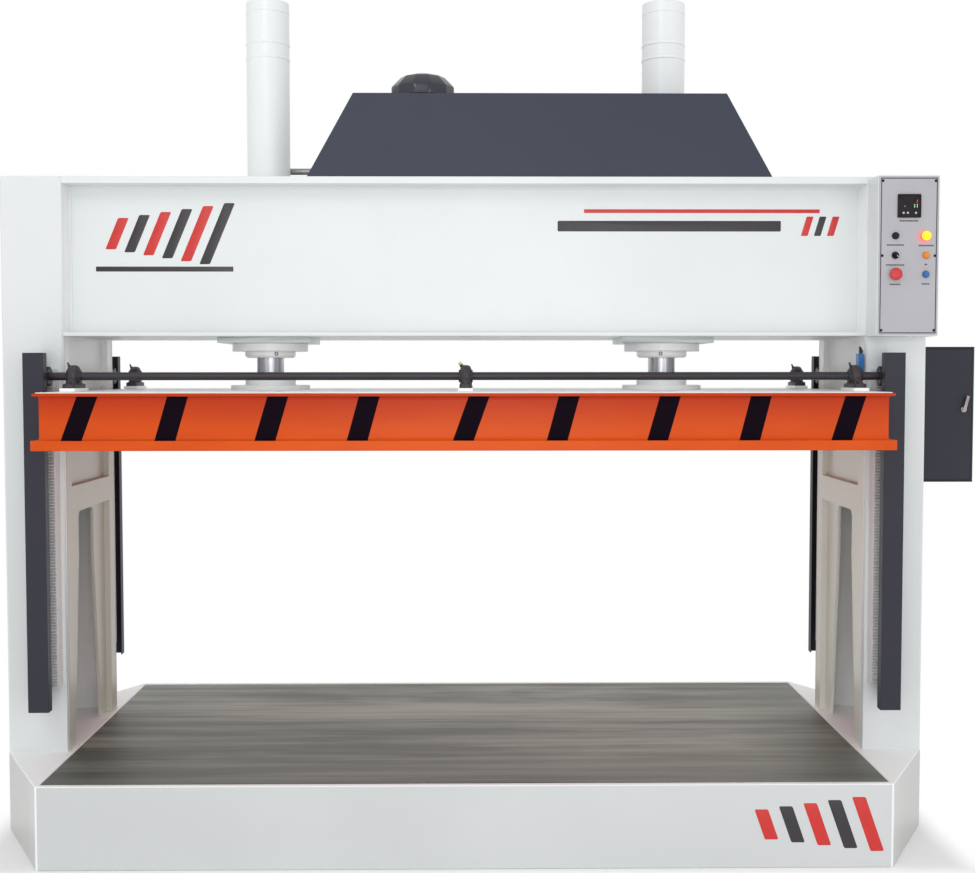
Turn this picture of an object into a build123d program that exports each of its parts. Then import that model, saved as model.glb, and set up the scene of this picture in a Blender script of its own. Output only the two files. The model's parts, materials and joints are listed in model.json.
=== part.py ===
from build123d import *
from math import atan, cos, degrees, pi, radians, sin, sqrt, tan
import os

# Two-cylinder platen press, millimetres. The origin is the middle of the base's underside,
# +X to the operator's right, -Y towards the operator, +Z up. The platen is at the top of its stroke.

# Base and bed
BASE_HEIGHT = 250
BASE_FRONT_LENGTH = 2520
BASE_DEPTH = 1294
BASE_WALL = 20
BASE_SKIN = 12
BED_LENGTH = 2500
BED_DEPTH = 1250
BED_THICKNESS = 30
BED_JOINT = 2

# Columns
COLUMN_INNER_X = 1268
COLUMN_WIDTH = 192
COLUMN_DEPTH = 570
COLUMN_TOP = 2075
COLUMN_PLATE = 12
POST_WIDTH = 58
POST_THICKNESS = 20
TIE_BAR_BOTTOM = 1010
TIE_BAR_HEIGHT = 85
WINDOW_TOP = 1000
WINDOW_TOP_HALF = 85
WINDOW_FOOT_HALF = 150
WINDOW_STRAIGHT = 150
WINDOW_RADIUS = 25

# Crosshead
CROSSHEAD_BOTTOM = 1575
TOP_FLANGE = 22
BOTTOM_FLANGE = 12
WEB_INSET = 90
WEB_THICKNESS = 12
RIB_THICKNESS = 12
RIB_OFFSET = 175
SEAT_SIZE = 300
SEAT_THICKNESS = 18

# Cylinders
CYLINDER_X = 660
STROKE = 950
BORE = 120
BARREL_WALL = 11
BARREL_FLANGE_DIAMETER = 252
BARREL_FLANGE_THICKNESS = 26
CAP_THICKNESS = 20
BARREL_PLATE_GAP = 2
ROD_DIAMETER = 90
PISTON_LENGTH = 70
PISTON_CLEARANCE = 0.05
SEAL_THICKNESS = 12
PISTON_CUSHION = 32
PISTON_GAP = 20
GLAND_DIAMETER = 168
GLAND_HEIGHT = 21
GLAND_SPIGOT = 50
GLAND_CHAMFER = 7
CYLINDER_BOLTS = 6
CYLINDER_BOLT_CIRCLE = 212
CYLINDER_BOLT_FLATS = 24
CYLINDER_BOLT_HEAD = 10
ROD_CLEARANCE = 0.05

# Platen
PLATEN_LENGTH = 2510
PLATEN_DEPTH = 1300
PLATEN_PLATE = 30
PLATEN_BOTTOM = 1233
BEAM_HEIGHT = 136
BEAM_INSET = 20
BEAM_WEB = 10
BEAM_FLANGE = 8
BEAM_FLANGE_WIDTH = 75
BEAM_LIP_INSET = 5
BEAM_ROOT_RADIUS = 12
ROD_PAD_SIZE = 280
DECK_THICKNESS = 3
DECK_INSET = 12
PLATEN_RIB_THICKNESS = 12
ROD_FOOT_DIAMETER = 264
ROD_FOOT_THICKNESS = 16
ROD_HUB_DIAMETER = 168
ROD_HUB_HEIGHT = 18

# Synchronising shafts, racks and pinions
MODULE = 3
PINION_TEETH = 18
PRESSURE_ANGLE = 20
BACKLASH = 0.3
RACK_CLEARANCE = 0.25
GEAR_WIDTH = 25
RACK_INNER_X = 1284
RACK_BOTTOM = 474
RACK_TEETH_ABOVE = 2
SHAFT_Y = 370
SHAFT_DIAMETER = 25
SHAFT_OVERHANG = 8
FIT = 0.02

# Bearing blocks
BLOCK_X = 1210
BOLT_SPACING = 98
BOLT_TO_BLOCK_END = 16
BLOCK_WIDTH = 38
BLOCK_FOOT = 13
BLOCK_CENTRE_HEIGHT = 36.5
BLOCK_CROWN = 34.5
BLOCK_BODY_WIDTH = 30
RUNNING_CLEARANCE = 0.05
SPACER_BORDER_ALONG = 8
SPACER_BORDER_ACROSS = 4
SPACER_THICKNESS = 10
BOLT_ACROSS_FLATS = 16
BOLT_HEAD = 7

# Rack guards
GUARD_X = 1282
GUARD_WIDTH = 63
GUARD_FACE_Y = 440
GUARD_RETURN = 35
GUARD_FOOT = 22
GUARD_SHEET = 3
GUARD_BOTTOM = 415
GUARD_TOP = 1520

# Oil tank and lid
TANK_X = 234
TANK_FOOT_LENGTH = 1466
TANK_TOP_LENGTH = 1174
TANK_FRONT_Y = -283
TANK_DEPTH = 208
TANK_HEIGHT = 260
TANK_SHEET = 4
LID_X = -137
LID_SIDES = 12
LID_ACROSS_FLATS = 200
LID_SKIRT = 34
LID_SHOULDER = 30
LID_SHOULDER_ACROSS = 142
LID_CROWN = 14
LID_CROWN_ACROSS = 60
LID_SPIGOT = 10
FILLER_DIAMETER = 150
FILLER_CLEARANCE = 2
SEAT_GAP = 0.3

# Hydraulic power unit behind the tank
MOTOR_X = 60
MOTOR_Y = 200
MOTOR_DIAMETER = 176
MOTOR_LENGTH = 300
MOTOR_SHAFT_HEIGHT = 112
MOTOR_FOOT_LENGTH = 190
MOTOR_FOOT_WIDTH = 170
MOTOR_STOOL_WIDTH = 120
MOTOR_FOOT_THICKNESS = 10
TERMINAL_BOX_LENGTH = 110
TERMINAL_BOX_DEPTH = 90
TERMINAL_BOX_RISE = 36
BELL_DIAMETER = 140
BELL_LENGTH = 80
PUMP_SIZE = 96
PUMP_LENGTH = 100
VALVE_BLOCK_LENGTH = 100
VALVE_BLOCK_FRONT_Y = 66
VALVE_BLOCK_DEPTH = 184
VALVE_BLOCK_HEIGHT = 180
SOLENOID_VALVE_WIDTH = 46
SOLENOID_VALVE_DEPTH = 66
SOLENOID_VALVE_HEIGHT = 48
COIL_DIAMETER = 42
COIL_LENGTH = 52
PIPE_DIAMETER = 22
ELBOW_SIZE = 34
PIPE_Y = 100
CAP_LINE_RISE = 72
ROD_LINE_RISE = 26
CAP_PORT_DROP = 60
PIPE_NOTCH = 30
TANK_PIPE_DIAMETER = 34
TANK_PIPE_RISE = 112

# Control box
CONTROL_BOX_WIDTH = 190
CONTROL_BOX_DEPTH = 108
CONTROL_BOX_HEIGHT = 492
CONTROL_BOX_BOTTOM = 1572
CONTROL_BOX_SHEET = 2
CONTROL_BOX_LIP = 12
PANEL_THICKNESS = 3
PANEL_MARGIN = 3
CONTROL_LEFT = 54
CONTROL_RIGHT = 149
CONTROL_ROW_HEIGHTS = (307, 247, 189)
METER_SIZE = 72
METER_HEIGHT_ON_PANEL = 398
METER_RIM = 6
BUTTON_DIAMETER = 22
BUTTON_PROUD = 10
BUTTON_HOLE_CLEARANCE = 0.3
BUTTON_STEM = 30
LAMP_DIAMETER = 30
LAMP_PROUD = 13
SELECTOR_PROUD = 4
SELECTOR_TURN = 45
SELECTOR_GRIP_WIDTH = 8
SELECTOR_GRIP_HEIGHT = 12
SELECTOR_GRIP_MARGIN = 1
STOP_DIAMETER = 38
STOP_HEAD = 14
STOP_GAP = 7

# Electrical cabinet
CABINET_WIDTH = 296
CABINET_DEPTH = 200
CABINET_HEIGHT = 468
CABINET_BOTTOM = 1080
CABINET_FRONT_Y = 100
CABINET_SHEET = 3
CABINET_LIP = 14
HINGE_POST = 16
DOOR_THICKNESS = 18
DOOR_SHEET = 2
DOOR_EDGE = 6
DOOR_GAP = 0.4
HINGE_DIAMETER = 12
HINGE_PIN = 5
PIN_SHORT = 1
HINGE_LEAF = 2
KNUCKLE_LENGTH = 22
HINGE_INSET = 60
LOCK_INSET = 38
LOCK_RISE = 18
LOCK_STEM = 14
LOCK_BOSS = 20
LOCK_BOSS_THICKNESS = 8
LEVER_LENGTH = 48
LEVER_WIDTH = 10
LEVER_THICKNESS = 8
LEVER_LEAN = 15
CAM_LENGTH = 34
CAM_WIDTH = 14
CAM_THICKNESS = 3
CAM_GAP = 1

# Limit switch on the right column's inner face
BRACKET_THICKNESS = 4
BRACKET_WIDTH = 34
BRACKET_HEIGHT = 72
BRACKET_BOTTOM = 1455
BRACKET_FRONT_Y = -284
SWITCH_WIDTH = 18
SWITCH_DEPTH = 30
SWITCH_HEIGHT = 64
EAR_THICKNESS = 6
EAR_HEIGHT = 11
EAR_WIDTH = 10
TRIP_PIN = 4
TRIP_HUB_DIAMETER = 10
TRIP_LEVER_THICKNESS = 8
TRIP_LEVER_REACH = 17
TRIP_LEVER_WIDTH = 13
TRIP_LEVER_TIP = 4

# Places worked out from the sizes above
COLUMN_FACE_Y = COLUMN_DEPTH / 2
COLUMN_OUTER_X = COLUMN_INNER_X + COLUMN_WIDTH
PLATEN_DECK_TOP = PLATEN_BOTTOM + PLATEN_PLATE + BEAM_HEIGHT + DECK_THICKNESS
SHAFT_Z = PLATEN_DECK_TOP + SPACER_THICKNESS + BLOCK_CENTRE_HEIGHT
SEAT_BOTTOM = CROSSHEAD_BOTTOM - SEAT_THICKNESS
BARREL_BOTTOM = SEAT_BOTTOM - BARREL_FLANGE_THICKNESS
BARREL_OUTER = BORE + 2 * BARREL_WALL
PISTON_LOW = BARREL_BOTTOM + GLAND_SPIGOT + PISTON_GAP
ROD_TOP = PISTON_LOW + STROKE
PISTON_TOP = ROD_TOP + PISTON_LENGTH + SEAL_THICKNESS
BARREL_TOP = PISTON_TOP + PISTON_CUSHION + CAP_THICKNESS
PITCH_RADIUS = MODULE * PINION_TEETH / 2
RACK_PITCH_Y = SHAFT_Y - PITCH_RADIUS
BLOCK_LENGTH = BOLT_SPACING + 2 * BOLT_TO_BLOCK_END
TANK_Y = TANK_FRONT_Y + TANK_DEPTH / 2
TANK_TOP = COLUMN_TOP + TANK_HEIGHT
PANEL_FACE_Y = -COLUMN_FACE_Y - CONTROL_BOX_DEPTH - PANEL_THICKNESS
DOOR_BACK_Y = CABINET_FRONT_Y - DOOR_GAP
DOOR_FACE_Y = DOOR_BACK_Y - DOOR_THICKNESS

LOW = (Align.CENTER, Align.CENTER, Align.MIN)
OVERCUT = 1
PARTS = {}


def add(name, *solids):
    """Keep the named sub-part; several like pieces are kept as separate solids of one compound."""
    PARTS[name] = solids[0] if len(solids) == 1 else Compound(children=list(solids))


def block(x0, x1, y0, y1, z0, z1):
    """A box between two corners."""
    return Pos(x0, y0, z0) * Box(x1 - x0, y1 - y0, z1 - z0, align=(Align.MIN,) * 3)


def side_block(side, x0, x1, y0, y1, z0, z1):
    """A box on the left (-1) or right (1) of the press, from distances to the middle."""
    xa, xb = sorted((side * x0, side * x1))
    return block(xa, xb, y0, y1, z0, z1)


def front_block(front, x0, x1, y0, y1, z0, z1):
    """A box at the front (-1) or rear (1) of the press, from distances to the middle."""
    ya, yb = sorted((front * y0, front * y1))
    return block(x0, x1, ya, yb, z0, z1)


def upright_cylinder(diameter, z0, z1, x=0, y=0):
    """A vertical cylinder between two heights."""
    return Pos(x, y, z0) * Cylinder(diameter / 2, z1 - z0, align=LOW)


def facing_cylinder(diameter, x, y0, y1, z):
    """A cylinder along Y between two depths."""
    return Pos(x, y0, z) * Rot(-90, 0, 0) * Cylinder(diameter / 2, y1 - y0, align=LOW)


def cross_cylinder(diameter, x0, x1, y, z):
    """A cylinder along X between two widths."""
    return Pos(x0, y, z) * Rot(0, 90, 0) * Cylinder(diameter / 2, x1 - x0, align=LOW)


def prism(points, z0, z1):
    """A plan outline pulled up between two heights."""
    return Pos(0, 0, z0) * extrude(make_face(Polyline(*points, close=True)), z1 - z0)


def base_outline(inset):
    """The base in plan: cut corners run from the front and rear plates to the columns' corners."""
    front = BASE_FRONT_LENGTH / 2
    depth = BASE_DEPTH / 2 - inset
    slope_x = COLUMN_OUTER_X - front
    slope_y = BASE_DEPTH / 2 - COLUMN_FACE_Y
    diagonal = sqrt(slope_x ** 2 + slope_y ** 2)
    near_x = front - inset * (diagonal - slope_x) / slope_y
    near_y = COLUMN_FACE_Y - inset * (diagonal - slope_y) / slope_x
    side = COLUMN_OUTER_X - inset
    half = [(near_x, -depth), (side, -near_y), (side, near_y), (near_x, depth)]
    return half + [(-x, y) for x, y in reversed(half)]


def make_base():
    """A closed welded box with cross walls inside, and a recess that holds the bed plate."""
    bed_under = BASE_HEIGHT - BED_THICKNESS
    body = prism(base_outline(0), 0, BASE_HEIGHT)
    half_x = BED_LENGTH / 2 + BED_JOINT
    half_y = BED_DEPTH / 2 + BED_JOINT
    body -= block(-half_x, half_x, -half_y, half_y, bed_under, BASE_HEIGHT)
    hollow = prism(base_outline(BASE_WALL), BASE_SKIN, bed_under - BASE_SKIN)
    for x in (-CYLINDER_X, 0, CYLINDER_X):
        half_wall = BASE_WALL / 2
        hollow -= block(x - half_wall, x + half_wall, -BASE_DEPTH, BASE_DEPTH, 0, BASE_HEIGHT)
    add("base_frame", body - hollow)
    add("bed_plate", Pos(0, 0, bed_under) * Box(BED_LENGTH, BED_DEPTH, BED_THICKNESS, align=LOW))


def window_cutter(x0, x1):
    """The leg window: narrow with round corners above, spreading to its foot on the base."""
    straight_end = WINDOW_TOP - WINDOW_STRAIGHT
    outline = [
        (-WINDOW_FOOT_HALF, BASE_HEIGHT), (-WINDOW_TOP_HALF, straight_end),
        (-WINDOW_TOP_HALF, WINDOW_TOP), (WINDOW_TOP_HALF, WINDOW_TOP),
        (WINDOW_TOP_HALF, straight_end), (WINDOW_FOOT_HALF, BASE_HEIGHT),
    ]
    face = make_face(Plane.YZ * Polyline(*outline, close=True))
    cutter = Pos(x0, 0, 0) * extrude(face, x1 - x0, dir=(1, 0, 0))
    corners = cutter.edges().filter_by(Axis.X).group_by(Axis.Z)[-1]
    return fillet(corners, WINDOW_RADIUS)


def make_column(side, name):
    """A folded outer shell, and an inner web between two posts that carry a tie bar and a head pad."""
    face_x = COLUMN_INNER_X - OVERCUT
    face_y = COLUMN_FACE_Y
    inner_y = face_y - COLUMN_PLATE
    web_top = COLUMN_TOP - COLUMN_PLATE
    foot_z = BASE_HEIGHT - OVERCUT
    shell = side_block(side, COLUMN_INNER_X, COLUMN_OUTER_X, -face_y, face_y, BASE_HEIGHT, COLUMN_TOP)
    shell -= side_block(side, face_x, COLUMN_OUTER_X - COLUMN_PLATE, -inner_y, inner_y, foot_z, web_top)
    add("column_" + name, shell)
    pocket_x = COLUMN_INNER_X + POST_THICKNESS
    pocket_y = inner_y - POST_WIDTH
    back = pocket_x + COLUMN_PLATE
    tie_top = TIE_BAR_BOTTOM + TIE_BAR_HEIGHT
    web = side_block(side, COLUMN_INNER_X, back, -inner_y, inner_y, BASE_HEIGHT, web_top)
    web -= side_block(side, face_x, pocket_x, -pocket_y, pocket_y, tie_top, CROSSHEAD_BOTTOM)
    web -= side_block(side, face_x, pocket_x, -pocket_y, pocket_y, foot_z, TIE_BAR_BOTTOM)
    near, far = sorted((side * COLUMN_INNER_X, side * (back + OVERCUT)))
    add("column_web_" + name, web - window_cutter(near, far))


def make_crosshead():
    """A box girder: two flange plates, two recessed webs and ribs beside each cylinder."""
    top_under = COLUMN_TOP - TOP_FLANGE
    bottom_over = CROSSHEAD_BOTTOM + BOTTOM_FLANGE
    end = COLUMN_INNER_X
    barrel_hole = BARREL_OUTER + 2 * BARREL_PLATE_GAP
    top = block(-end, end, -COLUMN_FACE_Y, COLUMN_FACE_Y, top_under, COLUMN_TOP)
    bottom = block(-end, end, -COLUMN_FACE_Y, COLUMN_FACE_Y, CROSSHEAD_BOTTOM, bottom_over)
    ribs = []
    web_y = COLUMN_FACE_Y - WEB_INSET
    rib_y = web_y - WEB_THICKNESS
    for x in (-CYLINDER_X, CYLINDER_X):
        bottom += Pos(x, 0, SEAT_BOTTOM) * Box(SEAT_SIZE, SEAT_SIZE, SEAT_THICKNESS, align=LOW)
        for offset in (-RIB_OFFSET, RIB_OFFSET):
            x0 = x + offset - RIB_THICKNESS / 2
            ribs.append(block(x0, x0 + RIB_THICKNESS, -rib_y, rib_y, bottom_over, top_under))
    for x in (-CYLINDER_X, CYLINDER_X):
        low = SEAT_BOTTOM - OVERCUT
        high = COLUMN_TOP + OVERCUT
        half = PIPE_NOTCH / 2
        hole = upright_cylinder(barrel_hole, low, high, x)
        hole += block(x - half, x + half, 0, PIPE_Y + half, low, high)
        top -= hole
        bottom -= hole
    add("crosshead_top_plate", top)
    add("crosshead_bottom_plate", bottom)
    add("crosshead_front_web", block(-end, end, -web_y, -rib_y, bottom_over, top_under))
    add("crosshead_rear_web", block(-end, end, rib_y, web_y, bottom_over, top_under))
    add("crosshead_ribs", *ribs)


def make_cylinder(x, name):
    """A barrel with its welded cap, port block and mounting flange."""
    barrel = upright_cylinder(BARREL_OUTER, BARREL_BOTTOM, BARREL_TOP, x)
    barrel += upright_cylinder(BARREL_FLANGE_DIAMETER, BARREL_BOTTOM, SEAT_BOTTOM, x)
    half = ELBOW_SIZE / 2
    port_z = BARREL_TOP - CAP_PORT_DROP
    barrel += block(x - half, x + half, 0, PIPE_Y + half, port_z - half, port_z + half)
    barrel -= upright_cylinder(BORE, BARREL_BOTTOM - OVERCUT, BARREL_TOP - CAP_THICKNESS, x)
    add("barrel_" + name, barrel)


def make_gland(x):
    """A flanged gland with a chamfered nose below and a spigot in the barrel."""
    low = BARREL_BOTTOM - GLAND_HEIGHT
    top = BARREL_BOTTOM + GLAND_SPIGOT
    gland = upright_cylinder(GLAND_DIAMETER, low, BARREL_BOTTOM, x)
    gland = chamfer(gland.edges().filter_by(GeomType.CIRCLE).sort_by(Axis.Z)[0], GLAND_CHAMFER)
    gland += upright_cylinder(BORE - 2 * FIT, BARREL_BOTTOM, top, x)
    return gland - upright_cylinder(ROD_DIAMETER + 2 * ROD_CLEARANCE, low - OVERCUT, top + OVERCUT, x)


def make_rod_foot(x):
    """A foot flange and hub round the rod's lower end."""
    foot_top = PLATEN_DECK_TOP + ROD_FOOT_THICKNESS
    hub_top = foot_top + ROD_HUB_HEIGHT
    foot = upright_cylinder(ROD_FOOT_DIAMETER, PLATEN_DECK_TOP, foot_top, x)
    foot += upright_cylinder(ROD_HUB_DIAMETER, PLATEN_DECK_TOP, hub_top, x)
    bore = ROD_DIAMETER + 2 * FIT
    return foot - upright_cylinder(bore, PLATEN_DECK_TOP - OVERCUT, hub_top + OVERCUT, x)


def hexagon_head(flats, height, x, y, z):
    """A hexagon bolt head standing on a level face."""
    return Pos(x, y, z) * extrude(RegularPolygon(flats / 2, 6, major_radius=False), height)


def make_rams():
    """Glands, rods, pistons with their cup seals, rod feet and the bolts that hold the barrels."""
    piston = BORE - 2 * PISTON_CLEARANCE
    crown = ROD_TOP + PISTON_LENGTH
    places = (-CYLINDER_X, CYLINDER_X)
    add("glands", *[make_gland(x) for x in places])
    add("rods", *[upright_cylinder(ROD_DIAMETER, PLATEN_DECK_TOP, ROD_TOP, x) for x in places])
    add("pistons", *[upright_cylinder(piston, ROD_TOP, crown, x) for x in places])
    add("piston_seals", *[upright_cylinder(piston, crown, PISTON_TOP, x) for x in places])
    add("rod_feet", *[make_rod_foot(x) for x in places])
    bolts = []
    for x in places:
        for turn in range(CYLINDER_BOLTS):
            angle = 2 * pi * turn / CYLINDER_BOLTS
            bolts.append(hexagon_head(
                CYLINDER_BOLT_FLATS, CYLINDER_BOLT_HEAD, x + CYLINDER_BOLT_CIRCLE / 2 * cos(angle),
                CYLINDER_BOLT_CIRCLE / 2 * sin(angle), CROSSHEAD_BOTTOM + BOTTOM_FLANGE,
            ))
    add("cylinder_bolts", *bolts)


def side_beam(front):
    """A long platen beam: its web set back from the plate's edge, its top flange near the edge."""
    half_x = PLATEN_LENGTH / 2 - BEAM_INSET
    half_y = PLATEN_DEPTH / 2
    web_y = half_y - BEAM_INSET
    low = PLATEN_BOTTOM + PLATEN_PLATE
    high = low + BEAM_HEIGHT
    lip_x = PLATEN_LENGTH / 2 - BEAM_LIP_INSET
    lip_y = half_y - BEAM_LIP_INSET
    under = high - BEAM_FLANGE
    web = front_block(front, -half_x, half_x, web_y - BEAM_WEB, web_y, low, high)
    flange = front_block(front, -lip_x, lip_x, lip_y - BEAM_FLANGE_WIDTH, lip_y, under, high)
    turn = 0 if front < 0 else 180
    return web + flange + Rot(0, 0, turn) * root_fillets(half_x, web_y)


def end_beam(side):
    """A short platen beam between the two side beams."""
    web_x = PLATEN_LENGTH / 2 - BEAM_INSET
    web_y = PLATEN_DEPTH / 2 - BEAM_INSET
    reach = web_y - BEAM_WEB
    low = PLATEN_BOTTOM + PLATEN_PLATE
    high = low + BEAM_HEIGHT
    lip_x = PLATEN_LENGTH / 2 - BEAM_LIP_INSET
    lip_reach = PLATEN_DEPTH / 2 - BEAM_LIP_INSET - BEAM_FLANGE_WIDTH
    under = high - BEAM_FLANGE
    web = side_block(side, web_x - BEAM_WEB, web_x, -reach, reach, low, under)
    flange = side_block(side, lip_x - BEAM_FLANGE_WIDTH, lip_x, -lip_reach, lip_reach, under, high)
    turn = 90 if side > 0 else -90
    return web + flange + Rot(0, 0, turn) * root_fillets(reach, web_x)


def root_fillets(half_length, web_face):
    """The rolled roots outside a front beam's web: hollow rounds on the plate and under the flange."""
    radius = BEAM_ROOT_RADIUS
    low = PLATEN_BOTTOM + PLATEN_PLATE
    high = low + BEAM_HEIGHT - BEAM_FLANGE
    tip = web_face + radius
    roots = block(-half_length, half_length, -tip, -web_face, low, low + radius)
    roots += block(-half_length, half_length, -tip, -web_face, high - radius, high)
    for z in (low + radius, high - radius):
        roots -= cross_cylinder(2 * radius, -half_length - OVERCUT, half_length + OVERCUT, -tip, z)
    return roots


def make_platen():
    """A thick pressing plate, the beams welded on it, a pad under each rod, and the deck sheet."""
    low = PLATEN_BOTTOM + PLATEN_PLATE
    high = low + BEAM_HEIGHT
    add("platen_plate", Pos(0, 0, PLATEN_BOTTOM) * Box(PLATEN_LENGTH, PLATEN_DEPTH, PLATEN_PLATE, align=LOW))
    reach = PLATEN_DEPTH / 2 - BEAM_LIP_INSET - BEAM_FLANGE_WIDTH
    half_rib = PLATEN_RIB_THICKNESS / 2
    beams = [side_beam(-1), side_beam(1), end_beam(-1), end_beam(1)]
    beams.append(block(-half_rib, half_rib, -reach, reach, low, high))
    half_pad = ROD_PAD_SIZE / 2
    for x in (-CYLINDER_X, CYLINDER_X):
        pad = block(x - half_pad, x + half_pad, -half_pad, half_pad, low, high)
        beams.append(pad + block(x - half_rib, x + half_rib, -reach, reach, low, high))
    add("platen_frame", *beams)
    deck_x = PLATEN_LENGTH / 2 - DECK_INSET
    deck_y = PLATEN_DEPTH / 2 - DECK_INSET
    add("platen_deck", block(-deck_x, deck_x, -deck_y, deck_y, high, high + DECK_THICKNESS))


def involute_point(base_radius, radius, start_angle):
    """The point of an involute at a radius, its start turned by start_angle."""
    roll = sqrt((radius / base_radius) ** 2 - 1)
    angle = start_angle + roll - atan(roll)
    return radius * cos(angle), radius * sin(angle)


def pinion_outline():
    """Teeth whose flanks run through three points of the true involute, then radially to the root."""
    alpha = radians(PRESSURE_ANGLE)
    base_radius = PITCH_RADIUS * cos(alpha)
    tip_radius = PITCH_RADIUS + MODULE
    root_radius = PITCH_RADIUS - MODULE * (1 + RACK_CLEARANCE)
    half_tooth = (pi * MODULE / 2 - BACKLASH / 2) / 2 / PITCH_RADIUS
    start = -half_tooth - (tan(alpha) - alpha)
    mid_radius = (base_radius + tip_radius) / 2
    flank = [involute_point(base_radius, r, start) for r in (base_radius, mid_radius, tip_radius)]
    root = (root_radius * cos(start), root_radius * sin(start))
    outline = [root] + flank
    outline += [(x, -y) for x, y in reversed(outline)]
    points = []
    for tooth in range(PINION_TEETH):
        angle = 2 * pi * tooth / PINION_TEETH
        points += [(x * cos(angle) - y * sin(angle), x * sin(angle) + y * cos(angle)) for x, y in outline]
    return make_face(Polyline(*points, close=True))


def make_pinion(x0, y):
    """A pinion on a shaft along X, a tooth space turned to face the rack's tooth."""
    face = pinion_outline()
    gear = extrude(face, GEAR_WIDTH)
    gear -= Cylinder(SHAFT_DIAMETER / 2 + FIT, 3 * GEAR_WIDTH)
    return Pos(x0, y, SHAFT_Z) * Rot(0, 90, 0) * Rot(0, 0, pinion_turn(y)) * gear


def pinion_turn(y):
    """The turn about the shaft that points a tooth space at the rack."""
    towards_rack = 90 if y < 0 else -90
    return towards_rack + 180 / PINION_TEETH


def rack_tooth_points():
    """Rack outline in (distance from the pitch line towards the shaft, height) from bottom to top."""
    pitch = pi * MODULE
    slope = tan(radians(PRESSURE_ANGLE))
    addendum = MODULE
    dedendum = MODULE * (1 + RACK_CLEARANCE)
    half = (pitch - BACKLASH) / 4
    below = int((SHAFT_Z - RACK_BOTTOM) / pitch)
    points = []
    for tooth in range(-below, RACK_TEETH_ABOVE + 1):
        middle = SHAFT_Z + tooth * pitch
        points += [
            (-dedendum, middle - half - dedendum * slope), (addendum, middle - half + addendum * slope),
            (addendum, middle + half - addendum * slope), (-dedendum, middle + half + dedendum * slope),
        ]
    low = SHAFT_Z - (below + 1 / 2) * pitch
    high = SHAFT_Z + (RACK_TEETH_ABOVE + 1 / 2) * pitch
    return [(-dedendum, low)] + points + [(-dedendum, high)], low, high


def make_rack(side, front):
    """A flat bar on edge against the column, its teeth facing the shaft."""
    teeth, low, high = rack_tooth_points()
    back = COLUMN_FACE_Y - RACK_PITCH_Y
    outline = [(back, low)] + teeth + [(back, high)]
    points = [(front * (RACK_PITCH_Y + reach), z) for reach, z in outline]
    face = make_face(Plane.YZ * Polyline(*points, close=True))
    x0 = RACK_INNER_X if side > 0 else -RACK_INNER_X - GEAR_WIDTH
    return Pos(x0, 0, 0) * extrude(face, GEAR_WIDTH, dir=(1, 0, 0))


def make_bearing_block(x, y):
    """A pillow block with its pressed-in bearing: a foot along Y, a round body and a running bore."""
    foot_z = SHAFT_Z - BLOCK_CENTRE_HEIGHT
    foot = Pos(x, y, foot_z) * Box(BLOCK_WIDTH, BLOCK_LENGTH, BLOCK_FOOT, align=LOW)
    half = BLOCK_BODY_WIDTH / 2
    body = cross_cylinder(2 * BLOCK_CROWN, x - half, x + half, y, SHAFT_Z)
    body += block(x - half, x + half, y - BLOCK_CROWN, y + BLOCK_CROWN, foot_z + BLOCK_FOOT / 2, SHAFT_Z)
    bore = SHAFT_DIAMETER + 2 * RUNNING_CLEARANCE
    return foot + body - cross_cylinder(bore, x - BLOCK_WIDTH, x + BLOCK_WIDTH, y, SHAFT_Z)


def make_synchroniser():
    """Both cross shafts with their pinions, racks, bearing blocks, spacers and bolts."""
    blocks, spacers, bolts = [], [], []
    foot_top = PLATEN_DECK_TOP + SPACER_THICKNESS + BLOCK_FOOT
    for front, place in ((-1, "front"), (1, "rear")):
        y = front * SHAFT_Y
        end = RACK_INNER_X + GEAR_WIDTH + SHAFT_OVERHANG
        add("shaft_" + place, cross_cylinder(SHAFT_DIAMETER, -end, end, y, SHAFT_Z))
        add(
            "pinions_" + place,
            make_pinion(-RACK_INNER_X - GEAR_WIDTH, y),
            make_pinion(RACK_INNER_X, y),
        )
        for x in (-BLOCK_X, 0, BLOCK_X):
            blocks.append(make_bearing_block(x, y))
            seat = Pos(x, y, PLATEN_DECK_TOP)
            width = BLOCK_WIDTH + 2 * SPACER_BORDER_ACROSS
            length = BLOCK_LENGTH + 2 * SPACER_BORDER_ALONG
            spacers.append(seat * Box(width, length, SPACER_THICKNESS, align=LOW))
            for bolt_y in (y - BOLT_SPACING / 2, y + BOLT_SPACING / 2):
                bolts.append(hexagon_head(BOLT_ACROSS_FLATS, BOLT_HEAD, x, bolt_y, foot_top))
        for side, name in ((-1, "left"), (1, "right")):
            add("rack_" + place + "_" + name, make_rack(side, front))
            add("guard_" + place + "_" + name, make_guard(side, front))
    add("bearing_blocks", *blocks)
    add("bearing_spacers", *spacers)
    add("bearing_bolts", *bolts)


def make_guard(side, front):
    """A folded sheet cover: foot on the column, outer wall, face, and a short return beside the pinion."""
    inner = GUARD_X
    outer = GUARD_X + GUARD_WIDTH
    sheet = GUARD_SHEET
    foot_y = COLUMN_FACE_Y + sheet
    face_y = GUARD_FACE_Y
    return_y = GUARD_FACE_Y - GUARD_RETURN
    outline = [
        (outer + GUARD_FOOT, COLUMN_FACE_Y), (outer + GUARD_FOOT, foot_y), (outer, foot_y), (outer, face_y),
        (inner, face_y), (inner, return_y), (inner + sheet, return_y), (inner + sheet, face_y - sheet),
        (outer - sheet, face_y - sheet), (outer - sheet, COLUMN_FACE_Y),
    ]
    return prism([(side * x, front * y) for x, y in outline], GUARD_BOTTOM, GUARD_TOP)


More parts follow.
